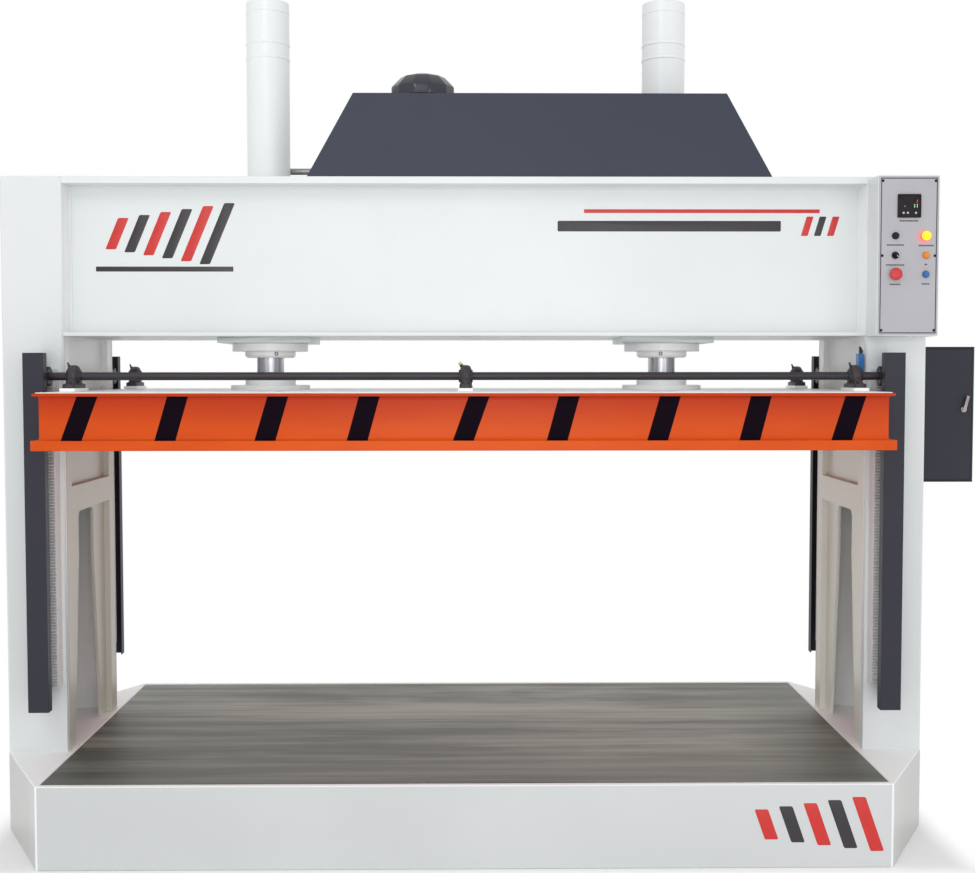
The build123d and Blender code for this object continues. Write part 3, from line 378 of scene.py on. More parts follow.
def rod_chrome(name, centre_x):
    """Hard chrome: bands down the rod, at fixed places round it, painted as reflections of the
    surroundings.
    """
    paint = Paint(name)
    across, depth, _ = paint.axes()
    turn = paint.node("Math", {"operation": "ARCTAN2"}, depth, abs(across) - centre_x)
    round_rod = paint.node("CombineXYZ", {}, turn, 0.0, 0.0)
    band = paint.node("TexNoise", {}, Vector=round_rod, Scale=2.6, Detail=4.0, Roughness=0.55)
    # Painted reflections: pale and grey bands stand for the surroundings mirrored in the chrome.
    tint = paint.mix(band.ramp(0.36, 0.64), shown(152, 152, 158), shown(204, 204, 210))
    return paint.finish(Base_Color=tint, Metallic=0.85, Roughness=band * 0.16 + 0.2)


def rack_paint(name, enamel_colour, steel_colour):
    """Rack: enamelled on its flanks and back, bare steel from the teeth's roots outwards."""
    paint = Paint(name)
    depth = abs(paint.axes()[1])
    bare = depth.ramp(RACK_ROOT + 0.0035, RACK_ROOT + 0.006)
    grime = paint.noise(60.0, 4.0, 0.6)
    tint = paint.mix(bare, enamel_colour, steel_colour)
    tint = paint.mix(grime.ramp(0.5, 0.75) * 0.25, tint, scaled(steel_colour, 0.75))
    return paint.finish(Base_Color=tint, Metallic=bare * 0.3, Roughness=grime * 0.2 + 0.3)


def casting(name, colour, rubbed=1.9):
    """Casting: a coarse skin, rubbed lighter in patches."""
    paint = Paint(name)
    skin = paint.noise(260.0, 3.0, 0.6)
    patch = paint.noise(38.0, 4.0)
    tint = paint.mix(patch.ramp(0.5, 0.72) * 0.7, colour, scaled(colour, rubbed))
    return paint.finish(
        Base_Color=tint, Metallic=0.15, Roughness=patch * 0.25 + 0.38, Normal=paint.bump(skin, 0.001, 0.35),
    )


def moulded(name, colour, rough=0.32, glow=0.0, shine=0.5):
    """Moulded plastic with a fine grain and handled, shinier patches."""
    paint = Paint(name)
    grain = paint.noise(900.0, 2.0)
    patch = paint.noise(70.0, 3.0)
    tint = paint.mix(patch.ramp(0.4, 0.7) * 0.4, colour, scaled(colour, 0.86))
    paint.finish(
        Base_Color=tint, Roughness=patch * 0.16 + (rough - 0.06), Normal=paint.bump(grain, 0.0002, 0.2),
        Specular_IOR_Level=shine,
    )
    if glow:
        paint.finish(Emission_Color=colour, Emission_Strength=glow)
    return paint.material


def panel_film(name, face, border, glow, lamp_at):
    """Printed film on the panel: a dark line set in from its edge, and beside the lamp a painted pool of
    its light, which also glows.
    """
    paint = Paint(name)
    edge = paint.past_edge("control_panel")
    line = edge.ramp(-0.0082, -0.0076) * edge.ramp(-0.0044, -0.005)
    grain = paint.noise(300.0, 2.0)
    cloud = paint.noise(6.0, 3.0)
    tint = paint.mix(cloud.ramp(0.3, 0.7), scaled(face, 0.97), scaled(face, 1.03))
    tint = paint.mix(line, tint, border)
    # Painted light: a halo of the lamp's light on the film, in its base colour and as emission.
    near_x, _, near_z = paint.axes(lamp_at - 0.008 * X - 0.003 * Z)
    distance = (near_x * near_x + near_z * near_z) ** 0.5
    halo = (1 - distance.ramp(0.004, 0.034)) ** 1.6
    return paint.finish(
        Base_Color=paint.mix(halo * 0.85, tint, glow), Roughness=cloud * 0.1 + 0.36,
        Normal=paint.bump(grain, 0.0002, 0.1),
        Emission_Color=paint.mix(halo * 0.5, (0.0, 0.0, 0.0, 1.0), glow), Emission_Strength=0.4,
    )


# Surfaces: each is (points, faces), and closed
def quads(rows, columns):
    """Faces between neighbouring rows of points, the last column joined to the first."""
    row = np.arange(rows - 1)[:, None] * columns
    here = np.arange(columns)[None, :]
    after = (here + 1) % columns
    corners = [row + here, row + after, row + columns + after, row + columns + here]
    return np.stack(corners, axis=-1).reshape(-1, 4)


def closed(grid):
    """Closes a tube of points at both ends by drawing each end's row in to its middle."""
    ends = [grid[:1].mean(axis=1, keepdims=True), grid[-1:].mean(axis=1, keepdims=True)]
    first, last = [np.repeat(end, grid.shape[1], axis=1) for end in ends]
    grid = np.concatenate([first, grid, last])
    return grid.reshape(-1, 3), quads(*grid.shape[:2])


def sides_of(axis):
    """Two directions square to an axis and to each other."""
    axis = np.asarray(axis, float) / np.linalg.norm(axis)
    helper = Z if abs(axis[2]) < 0.9 else X
    first = np.cross(helper, axis)
    first /= np.linalg.norm(first)
    return axis, first, np.cross(axis, first)


def circle(angle):
    """Points of the unit circle."""
    return np.stack([np.cos(angle), np.sin(angle)], axis=-1)


def turned(profile, origin, axis=Z, sides=40):
    """Turned form: point(s, angle) = origin + height(s) axis + radius(s) (cos angle, sin angle)."""
    axis, first, second = sides_of(axis)
    radius, height = np.asarray(profile, float).T
    angle = np.linspace(0, 2 * np.pi, sides, endpoint=False)
    ring = circle(angle) @ np.stack([first, second])
    return closed(np.asarray(origin) + height[:, None, None] * axis + radius[:, None, None] * ring)


def raised(outline, levels, origin, across=X, up=Z, out=-Y):
    """Pressed form: point(level, s) = origin + outline(s) drawn in by the level's inset + its height out.

    The inset follows the outline's inward normal: its direction turned a quarter to the left.
    """
    outline = np.asarray(outline, float)
    along = np.roll(outline, -1, axis=0) - np.roll(outline, 1, axis=0)
    normal = np.stack([-along[:, 1], along[:, 0]], axis=1)
    normal /= np.maximum(np.linalg.norm(normal, axis=1, keepdims=True), 1e-12)
    inset, height = np.asarray(levels, float).T
    flat = outline[None] + inset[:, None, None] * normal[None]
    grid = flat[..., :1] * across + flat[..., 1:] * up + height[:, None, None] * out
    return closed(np.asarray(origin) + grid)


def rounded(width, height, corner, steps=4, lean=0.0):
    """A rounded rectangle's outline, its points sheared sideways by lean times their height."""
    angle = np.linspace(0, np.pi / 2, steps + 1)
    quarter = np.arange(4)[:, None] * np.pi / 2 + angle
    sign = np.array([[1, 1], [-1, 1], [-1, -1], [1, -1]])[:, None, :]
    centre = sign * (np.array([width, height]) / 2 - corner)
    points = (centre + corner * circle(quarter)).reshape(-1, 2)
    points[:, 0] += lean * points[:, 1]
    return points


def soft_levels(height, edge):
    """Levels of a pressed form with a rounded rim: a quarter circle of the edge's radius."""
    angle = np.linspace(0, np.pi / 2, 4)
    rim = edge * circle(np.pi - angle) + [edge, height - edge]
    return np.concatenate([[[0, 0]], rim])


def carried(section, path, across, up):
    """Carried form: point(t, s) = path(t) + section_x(s) across + section_y(s) up."""
    section = np.asarray(section, float)
    if section.ndim == 2:
        section = np.broadcast_to(section, (len(path),) + section.shape)
    grid = np.asarray(path)[:, None, :] + section[..., :1] * across + section[..., 1:] * up
    return closed(grid)


def bead(start, end, radius, first, second):
    """A fillet weld: a bulged triangle carried from start to end, swelling a little along the way."""
    start, end = np.asarray(start, float), np.asarray(end, float)
    rows = max(12, int(np.linalg.norm(end - start) / 0.03))
    along = np.linspace(0, 1, rows)
    angle = np.linspace(0, np.pi / 2, 5)
    belly, sunk = 0.86, -0.15
    corner = np.concatenate([[[sunk, sunk], [1.0, sunk]], belly * circle(angle), [[sunk, 1.0]]])
    swell = 1 + 0.02 * np.sin(along * 61.0) + 0.015 * np.sin(along * 143.0)
    section = corner[None] * (radius * swell)[:, None, None]
    return carried(section, start + along[:, None] * (end - start), first, second)


def ring_bead(radius, thickness, origin, axis=Z):
    """A weld round a pipe: a half circle of the bead's thickness turned about the axis."""
    angle = np.linspace(-np.pi / 2, np.pi / 2, 7)
    arc = circle(angle) * [thickness / 2, thickness] + [radius, 0]
    arc = np.concatenate([arc[:1], arc, arc[-1:]])
    sunk = 0.001
    arc[[0, -1], 0] = radius - sunk
    return turned(arc, origin, axis, 72)


# Objects
def rides_and_stands(made, body, nodes=()):
    """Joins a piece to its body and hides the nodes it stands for."""
    bpy.context.scene.collection.objects.link(made)
    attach(made, body)
    if nodes:
        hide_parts(*nodes)
    return made


def piece(name, surfaces, material, body, nodes=(), crease=38):
    """One object from closed surfaces: doubles merged, faces outwards, edges sharper than crease kept."""
    counts = np.cumsum([0] + [len(points) for points, _ in surfaces])
    points = np.concatenate([points for points, _ in surfaces])
    faces = np.concatenate([faces + start for (_, faces), start in zip(surfaces, counts)])
    data = bpy.data.meshes.new(name)
    data.from_pydata(points.tolist(), [], faces.tolist())
    work = bmesh.new()
    work.from_mesh(data)
    bmesh.ops.remove_doubles(work, verts=work.verts, dist=1e-6)
    bmesh.ops.recalc_face_normals(work, faces=work.faces)
    work.to_mesh(data)
    work.free()
    data.materials.append(material)
    data.shade_smooth()
    data.set_sharp_from_angle(angle=math.radians(crease))
    return rides_and_stands(bpy.data.objects.new(name, data), body, nodes)


def dress(material, bevel, *nodes, way=None, segments=2):
    """Copies of nodes: flat triangles joined, edges along one way (or all) rounded by a bevel."""
    smooth_below = math.radians(60 if way is None else 38)
    for node in nodes:
        source = frame["nodes"][node]
        data = source.data.copy()
        work = bmesh.new()
        work.from_mesh(data)
        bmesh.ops.remove_doubles(work, verts=work.verts, dist=1e-5)
        bmesh.ops.dissolve_limit(work, angle_limit=math.radians(1), verts=work.verts, edges=work.edges)
        weight = work.edges.layers.float.new("bevel_weight_edge")
        for edge in work.edges:
            along = (edge.verts[1].co - edge.verts[0].co).normalized()
            bent = len(edge.link_faces) == 2 and edge.calc_face_angle() > math.radians(32)
            edge[weight] = float(bent and (way is None or abs(along.dot(way)) > 0.99))
        work.to_mesh(data)
        work.free()
        data.materials.clear()
        data.materials.append(material)
        data.shade_smooth()
        data.set_sharp_from_angle(angle=smooth_below)
        made = bpy.data.objects.new("dressed_" + node, data)
        rounding = made.modifiers.new("rounded_edges", "BEVEL")
        rounding.width = bevel
        rounding.segments = segments
        rounding.limit_method = "WEIGHT"
        made.modifiers.new("face_normals", "WEIGHTED_NORMAL").keep_sharp = True
        rides_and_stands(made, source["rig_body"], [node])


def coat(material, *nodes):
    """Gives CAD nodes a finish and leaves their shape."""
    for node in nodes:
        made = frame["nodes"][node]
        if not made.material_slots:
            made.data.materials.append(material)
        for slot in made.material_slots:
            slot.material = material


# Sizes and colours
def length_property(name, description, length):
    """A length that a user can change."""
    return bpy.props.FloatProperty(name=name, description=description, default=length, unit="LENGTH")


def colour_property(name, description, *shows):
    """A colour that a user can change, first given as it shows."""
    return bpy.props.FloatVectorProperty(
        name=name, description=description, default=shown(*shows), size=4, min=0, max=1, subtype="COLOR",
    )


class PressSizes(bpy.types.PropertyGroup):
    """Sizes of the press's small forms."""

    fold: length_property("Fold radius", "Outer radius of the columns' folded corners", 0.006)
    edge: length_property("Edge radius", "Radius of cut and ground edges", 0.002)
    weld: length_property("Weld size", "Leg of the fillet welds", 0.007)
    tape_width: length_property("Tape width", "Width of the black tape strips", 0.0606)
    tape_thickness: length_property("Tape thickness", "Thickness of the black tape", 0.0004)
    screw: length_property("Screw radius", "Radius of the panel's screw heads", 0.0042)


class PressColours(bpy.types.PropertyGroup):
    """Colours of the press's finishes."""

    frame: colour_property("Frame", "Enamel of the frame", 226, 230, 231)
    # Beam and beam top: the redder top colour is painted shade under the platen's flange.
    beam: colour_property("Beam", "Bright orange at the platen's foot", 216, 84, 20)
    beam_top: colour_property("Beam top", "Redder orange under the platen's flange", 186, 57, 20)
    deck: colour_property("Deck", "Enamel of the deck, feet and spacers", 252, 253, 252)
    charcoal: colour_property("Charcoal", "Guards and cabinet", 52, 52, 62)
    tank: colour_property("Tank", "Enamel of the oil tank", 60, 64, 77)
    plate_light: colour_property("Plate light", "Bright streaks of the bed", 166, 169, 160)
    plate_dark: colour_property("Plate dark", "Dark streaks of the bed", 70, 74, 66)
    steel: colour_property("Dark steel", "Shafts and pinions", 50, 45, 52)
    iron: colour_property("Casting", "Bearing blocks", 50, 44, 50)
    panel: colour_property("Panel", "Film of the control panel", 176, 175, 180)
    motor: colour_property("Motor", "Enamel of the motor", 70, 84, 104)


FINISHES = {}


def finish(maker, name, *values):
    """A finish made at its first use and kept by its name. Property arrays become tuples."""
    if name not in FINISHES:
        plain = [value[:] if hasattr(value, "__len__") else value for value in values]
        FINISHES[name] = maker(name, *plain)
    return FINISHES[name]


def plastic(name, shows, *values):
    """A moulded finish of one shown colour."""
    return finish(moulded, name, shown(*shows), *values)


def plain_metal(name, shows, *values):
    """A metal finish of one shown colour."""
    return finish(metal, name, shown(*shows), *values)


def frame_enamel(colours):
    """The frame's pale enamel."""
    return finish(enamel, "frame_enamel", colours.frame, 0.3, 0.12)


def deck_enamel(colours):
    """The cleaner pale enamel of the deck, spacers and rod feet."""
    return finish(enamel, "deck_enamel", colours.deck, 0.3, 0.15)


def charcoal(colours):
    """The dark enamel of guards and cabinet."""
    return finish(enamel, "charcoal_enamel", colours.charcoal, 0.42, 0.3, 0.2)


def black_plastic():
    """Black plastic of the meter, the buttons and the coils."""
    return plastic("black_plastic", (27, 22, 28), 0.3, 0.0, 0.2)


def bright_steel():
    """Plain machined steel."""
    return plain_metal("bright_steel", (170, 170, 174), 0.3, 1.0, (1, 1, 1), 0.15)


# Operators
class PressStep:
    """One step of the making: it draws its pieces, or raises."""

    bl_options = {"REGISTER"}

    def execute(self, context):
        self.make(context.scene.press_sizes, context.scene.press_colours)
        return {"FINISHED"}


class PRESS_OT_frame(PressStep, bpy.types.Operator):
    """Dress the base, bed, columns and crosshead, with the crosshead's welds"""

    bl_idname = "press.frame"
    bl_label = "Frame and bed"

    def make(self, sizes, colours):
        paint = frame_enamel(colours)
        # Painted light: this white stands for light on the columns' hollow insides and on the webs' upper
        # parts.
        white = shown(253, 253, 253)
        inner = [high("column_right")[0], COLUMN_FACE, high("column_right")[2]]
        # Column shells: painted shade, a little darker towards the bottom, and painted light, white inside
        # the hollow column.
        shell = finish(
            painted_light_enamel, "column_enamel", colours.frame, scaled(colours.frame, 0.96), (0.2, 2.0),
            inner, white,
        )
        # Painted shade and painted reflection: the webs grow greyer towards their foot, the left more than
        # the right, for shade and the platen's and bed's reflection there.
        for side, lower in (("left", shown(200, 200, 190)), ("right", shown(226, 231, 222))):
            dress(shell, sizes.fold, "column_" + side, way=Z, segments=3)
            web = finish(painted_light_enamel, "web_enamel_" + side, white, lower, (1.2, 1.5))
            dress(web, sizes.edge, "column_web_" + side)
        dress(paint, sizes.edge * 1.5, "crosshead_top_plate", "crosshead_bottom_plate", way=X, segments=3)
        base = finish(base_enamel, "base_enamel", colours.frame)
        dress(base, sizes.edge * 1.5, "base_frame", segments=3)
        coat(paint, "crosshead_front_web", "crosshead_rear_web", "crosshead_ribs")
        plate = finish(ground_plate, "ground_plate", colours.plate_light, colours.plate_dark)
        dress(plate, sizes.edge, "bed_plate")
        beads = []
        for front in (-1, 1):
            face = front * -WEB_Y * Y
            out = front * Y
            for height, up in ((WEB_LOW, Z), (WEB_HIGH, -Z)):
                start, end = [face + height * Z + x * X for x in (-INNER_X, INNER_X)]
                beads.append(bead(start, end, sizes.weld, out, up))
            for side in (-1, 1):
                foot = face + side * INNER_X * X
                beads.append(bead(foot + WEB_LOW * Z, foot + WEB_HIGH * Z, sizes.weld, -side * X, out))
        piece("crosshead_welds", beads, paint, "frame")


class PRESS_OT_cylinders(PressStep, bpy.types.Operator):
    """Dress barrels, glands, rods and feet, with weld rings and plugs"""

    bl_idname = "press.cylinders"
    bl_label = "Cylinders"

    def make(self, sizes, colours):
        # Painted light: the barrels are painted whiter below the crosshead, where its shade falls, than
        # above it.
        paint = finish(
            painted_light_enamel, "barrel_enamel", shown(236, 240, 241), shown(253, 253, 253), (WEB_LOW, WEB_HIGH),
        )
        rings, plugs = [], []
        plug = [[0.0062, -0.004], [0.0062, 0.0006], [0.005, 0.0012], [0.0034, 0.0012], [0.0034, -0.0015]]
        plug_radius, plug_z = 0.084, low("glands")[2] + 0.0125
        for side, node, plug_angle in ((-1, "barrel_left", -68), (1, "barrel_right", -100)):
            dress(paint, sizes.edge, node)
            axis = side * CYLINDER_X * X
            for drop, thickness in ((0.138, 0.004), (0.186, 0.004), (0.035, 0.0025)):
                rings.append(ring_bead(BARREL_RADIUS, thickness, axis + (BARREL_TOP - drop) * Z))
            turn = math.radians(plug_angle)
            way = math.cos(turn) * X + math.sin(turn) * Y
            plugs.append(turned(plug, axis + plug_radius * way + plug_z * Z, way, 20))
        piece("barrel_weld_rings", rings, paint, "frame")
        piece("gland_plugs", plugs, plain_metal("plug_steel", (74, 72, 78), 0.4), "frame")
        dress(deck_enamel(colours), sizes.edge * 0.5, "glands", "rod_feet")
        dress(finish(rod_chrome, "rod_chrome", CYLINDER_X), sizes.edge * 0.25, "rods")
        coat(bright_steel(), "pistons", "cylinder_bolts")
        coat(plastic("seal_rubber", (24, 24, 26), 0.6), "piston_seals")


class PRESS_OT_platen(PressStep, bpy.types.Operator):
    """Dress the platen, with its welds and black tape strips"""

    bl_idname = "press.platen"
    bl_label = "Platen"

    def make(self, sizes, colours):
        orange = finish(beam_enamel, "beam_enamel", colours.beam, colours.beam_top)
        dress(orange, sizes.edge, "platen_plate")
        dress(orange, sizes.edge * 0.75, "platen_frame")
        dress(deck_enamel(colours), sizes.edge * 0.5, "platen_deck", "bearing_spacers")
        heads = np.array([-1125.2, -863.9, -573.9, -308.9, 10.2, 272.1, 566.4, 831.8, 1108.2]) / 1000
        feet = np.array([-1175.0, -903.2, -613.6, -345.8, -37.8, 236.0, 528.7, 797.9, 1066.4]) / 1000
        strips = [tape_strip(head, foot, sizes) for head, foot in zip(heads, feet)]
        tape = plastic("tape_film", (20, 10, 20), 0.5, 0.0, 0.02)
        piece("black_tape", strips, tape, "platen", crease=60)


def tape_strip(head, foot, sizes):
    """A strip down the beam: point(t, s) = line(t) + (lean(t) + s width) across, with a thickness.

    The line runs round the beam's upper root, down its web, round its lower root and out to the
    plate's edge. Where it comes forward the strip draws in towards the middle, so that its sides
    look straight from in front.
    """
    sight, edge_radius, foot_height = 3.83, 0.002, 0.0055
    quarter = np.linspace(0, np.pi / 2, 7)
    upper_share, edge_share = 0.8, 0.55
    root_y = BEAM_FACE - BEAM_ROOT
    upper = BEAM_ROOT * circle(quarter[::-1] * upper_share) + [root_y, BEAM_HIGH - BEAM_ROOT]
    lower = BEAM_ROOT * circle(-quarter) + [root_y, BEAM_LOW + BEAM_ROOT]
    edge = edge_radius * circle(np.pi / 2 + quarter * edge_share)
    edge += [PLATE_EDGE + edge_radius, BEAM_LOW - edge_radius]
    line = np.concatenate([upper, lower, edge])
    along = np.gradient(line, axis=0)
    normal = np.stack([along[:, 1], -along[:, 0]], axis=1)
    normal /= np.linalg.norm(normal, axis=1, keepdims=True)
    share = (BEAM_HIGH - line[:, 1]) / (BEAM_HIGH - BEAM_LOW + foot_height)
    shift = (head + (foot - head) * share) * (1 + (line[:, 0] - BEAM_FACE) / sight)
    under, over = -0.0002, sizes.tape_thickness
    corner = np.array([[0, under], [1.0, under], [1.0, over], [0, over]])
    across = shift[:, None] + corner[None, :, 0] * sizes.tape_width
    flat = line[:, None, :] + corner[None, :, 1:] * normal[:, None, :]
    return closed(np.concatenate([across[..., None], flat], axis=-1))


class PRESS_OT_gearing(PressStep, bpy.types.Operator):
    """Dress shafts, pinions, racks, bearing blocks and guards, with collars and grease nipples"""

    bl_idname = "press.gearing"
    bl_label = "Synchronising gear"

    def make(self, sizes, colours):
        steel = finish(metal, "dark_steel", colours.steel, 0.4, 0.3, (0.1, 1, 1), 0.3)
        iron = finish(casting, "block_casting", colours.iron)
        dress(steel, sizes.edge * 0.25, "shaft_front", "shaft_rear", "pinions_front", "pinions_rear")
        coat(steel, "bearing_bolts")
        rack = finish(rack_paint, "rack_paint", colours.frame, shown(206, 204, 203))
        coat(rack, *nodes_named("rack_"))
        piece("block_castings", block_castings(), iron, "platen", ["bearing_blocks"], crease=50)
        dress(charcoal(colours), sizes.edge * 0.5, *nodes_named("guard_"))
        collars, nipples, caps = [], [], []
        bore, collar_radius, collar_length = BORE_RADIUS, 0.0195, 0.0065
        collar = [
            [bore, 0], [collar_radius, 0], [collar_radius, 0.005],
            [collar_radius - 0.001, collar_length], [bore, collar_length],
        ]
        seat = [[0.026, 0], [0.0255, 0.0015], [0.021, 0.002], [0.0205, 0.0005]]
        nipple = [
            [0.0045, -0.003], [0.0045, 0.003], [0.0028, 0.004], [0.0024, 0.0075],
            [0.0034, 0.009], [0.0026, 0.0115], [0.0012, 0.0125],
        ]
        cap = [[0.0036, 0.0045], [0.0054, 0.006], [0.0056, 0.0095], [0.0042, 0.0125], [0.0015, 0.0135]]
        lean = sides_of(-0.45 * X + Z)[0]
        seat_offset, collar_offset, nipple_offset = 0.015, 0.0152, 0.034
        for hub in HUBS:
            for way in (-X, X):
                collars.append(turned(seat, hub + seat_offset * way, way, 48))
                collars.append(turned(collar, hub + collar_offset * way, way, 36))
            nipple_foot = hub + nipple_offset * lean
            nipples.append(turned(nipple, nipple_foot, lean, 16))
            if hub[0] == 0:
                caps.append(turned(cap, nipple_foot, lean, 20))
        piece("bearing_collars", collars, iron, "platen")
        piece("grease_nipples", nipples, steel, "platen")
        cream = plastic("nipple_cap", (206, 194, 160), 0.4)
        piece("nipple_caps", caps, cream, "platen")


def block_castings():
    """The bearing blocks: a pressed foot, a waist drawn in as it rises, a barrel round the shaft."""
    foot_low = low("bearing_blocks")[2]
    block_depth = high("bearing_blocks")[1] - SHAFT_Y
    foot_thick, waist_width, body_width, bulge = 0.013, 0.031, 0.03, 0.0065
    crown = high("bearing_blocks")[2] - SHAFT_Z
    rise = np.array([0, 0.3, 0.6, 0.8, 1.0])
    inset = 0.0032 * rise + 0.011 * rise ** 0.6
    rise_height = SHAFT_Z - foot_low - foot_thick
    waist_levels = np.stack([inset - 0.004, foot_thick - 0.001 + rise * rise_height], axis=1)
    turn = np.linspace(-np.pi / 2, np.pi / 2, 13)
    barrel = circle(turn) * [bulge, body_width / 2] + [crown - bulge, 0]
    end = np.array([[BORE_RADIUS, body_width / 2]])
    barrel = np.concatenate([end * [1, -1], barrel, end])
    surfaces = []
    outline = rounded(2 * block_depth, BLOCK_FOOT_WIDTH, 0.012)
    waist = rounded(2 * crown + 0.012, waist_width, 0.008)
    for hub in HUBS:
        foot = hub * (X + Y) + foot_low * Z
        surfaces.append(raised(outline, soft_levels(foot_thick, 0.003), foot, Y, X, Z))
        surfaces.append(raised(waist, waist_levels, foot, Y, X, Z))
        surfaces.append(turned(barrel, hub, X, 48))
    return surfaces


class PRESS_OT_tank(PressStep, bpy.types.Operator):
    """Dress the oil tank and make its fluted lid"""

    bl_idname = "press.tank"
    bl_label = "Tank and lid"

    def make(self, sizes, colours):
        paint = finish(enamel, "tank_enamel", colours.tank, 0.4, 0.3, 0.2)
        dress(paint, sizes.edge, "oil_tank")
        lid = plastic("lid_gloss", (40, 42, 54), 0.14)
        piece("fluted_lid", [fluted_lid()], lid, "lid", ["tank_lid"], 30)


def fluted_lid():
    """The lid: radius(angle, t) = profile(t) times a twelve-sided factor, less a flute at the corners.

    The factor is cos(half side) over cos(angle from the side's middle). The flutes run down the skirt.
    """
    centre = middle("tank_lid")
    foot, top = low("tank_lid")[2] + 0.01, high("tank_lid")[2]
    outer = (high("tank_lid")[0] - low("tank_lid")[0]) / 2
    profile = np.array([
        [0.068, -0.01], [0.068, 0.000], [0.102, 0.000], [0.1035, 0.002], [0.1035, 0.031], [0.102, 0.0345],
        [0.0745, 0.063], [0.0715, 0.0655], [0.07, 0.0662], [0.033, 0.0772], [0.03, 0.0778], [0.008, 0.078],
    ])
    profile *= np.array([outer / profile[:, 0].max(), (top - foot) / profile[-1, 1]])
    angle = np.linspace(0, 2 * np.pi, 192, endpoint=False)
    side = np.pi / 12
    from_middle = (angle + side) % (2 * side) - side
    facets = np.cos(side) / np.cos(from_middle)
    flute_half_angle, flute_depth = 0.04, 0.02
    corner = np.maximum(0, 1 - (side - np.abs(from_middle)) / flute_half_angle)
    flute = flute_depth * (1 - np.cos(np.pi * corner)) / 2
    depth = np.interp(profile[:, 1], [0, 0.004, 0.028, 0.034], [0, 1, 1, 0.15])
    radius = profile[:, :1] * (facets[None] - depth[:, None] * flute[None])
    grid = np.stack([
        centre[0] + radius * np.cos(angle), centre[1] + radius * np.sin(angle),
        np.broadcast_to(foot + profile[:, 1:], radius.shape),
    ], axis=-1)
    return closed(grid)


class PRESS_OT_power_unit(PressStep, bpy.types.Operator):
    """Make the finned motor and dress the pump, valve block and pipes"""

    bl_idname = "press.power_unit"
    bl_label = "Power unit"

    def make(self, sizes, colours):
        paint = finish(enamel, "motor_enamel", colours.motor, 0.36, 0.35)
        piece("finned_motor", finned_motor(), paint, "frame", ["pump_motor"], 30)
        alloy = finish(casting, "pump_alloy", shown(168, 170, 172), 1.15)
        dress(alloy, sizes.edge, "gear_pump")
        dress(bright_steel(), sizes.edge, "valve_block")
        dress(black_plastic(), sizes.edge * 0.75, "solenoid_valve")
        pipe = plain_metal("pipe_steel", (150, 150, 152), 0.34)
        dress(pipe, sizes.edge * 0.25, "tank_pipes", "pressure_pipes")


def finned_motor():
    """The motor: a star section of sixty fins, a turned shield and cowl, a foot, a stool and a box."""
    start, end = low("pump_motor"), high("pump_motor")
    radius, axis_height, fan_end, shield_end = 0.088, 0.112, 0.07, 0.03
    box_length, box_depth = 0.11, 0.09
    axle = start * X + middle("pump_motor") * Y + (start[2] + axis_height) * Z
    angle = np.linspace(0, 2 * np.pi, 240, endpoint=False)
    teeth = np.where((np.arange(240) // 2) % 2 == 0, 0.99, 0.88)
    star = radius * teeth[:, None] * circle(angle)
    length = end[0] - start[0]
    body = axle + np.array([fan_end, length - shield_end])[:, None] * X
    cowl = [
        [0.06, 0], [0.07, 0.002], [radius - 0.004, 0.012],
        [radius, 0.02], [radius, 0.072], [0.05, 0.072],
    ]
    shield = [[0.05, 0], [radius, 0], [radius, 0.014], [radius - 0.008, 0.026], [0.04, 0.03]]
    foot = middle("pump_motor") * (X + Y) + start * Z
    lid_top = end[2] - foot[2]
    box = rounded(box_length, box_depth, 0.008)
    lid = rounded(box_length - 0.004, box_depth - 0.004, 0.007)
    return [
        carried(star, body, Y, Z),
        turned(cowl, axle, X, 64),
        turned(shield, axle + (length - shield_end) * X, X, 64),
        raised(rounded(0.19, 0.17, 0.012), soft_levels(0.01, 0.002), foot, X, Y, Z),
        raised(rounded(0.19, 0.12, 0.008), soft_levels(0.06, 0.002), foot, X, Y, Z),
        raised(box, soft_levels(lid_top - 0.008 - axis_height, 0.001), foot + axis_height * Z, X, Y, Z),
        raised(lid, soft_levels(0.009, 0.002), foot + (lid_top - 0.009) * Z, X, Y, Z),
    ]


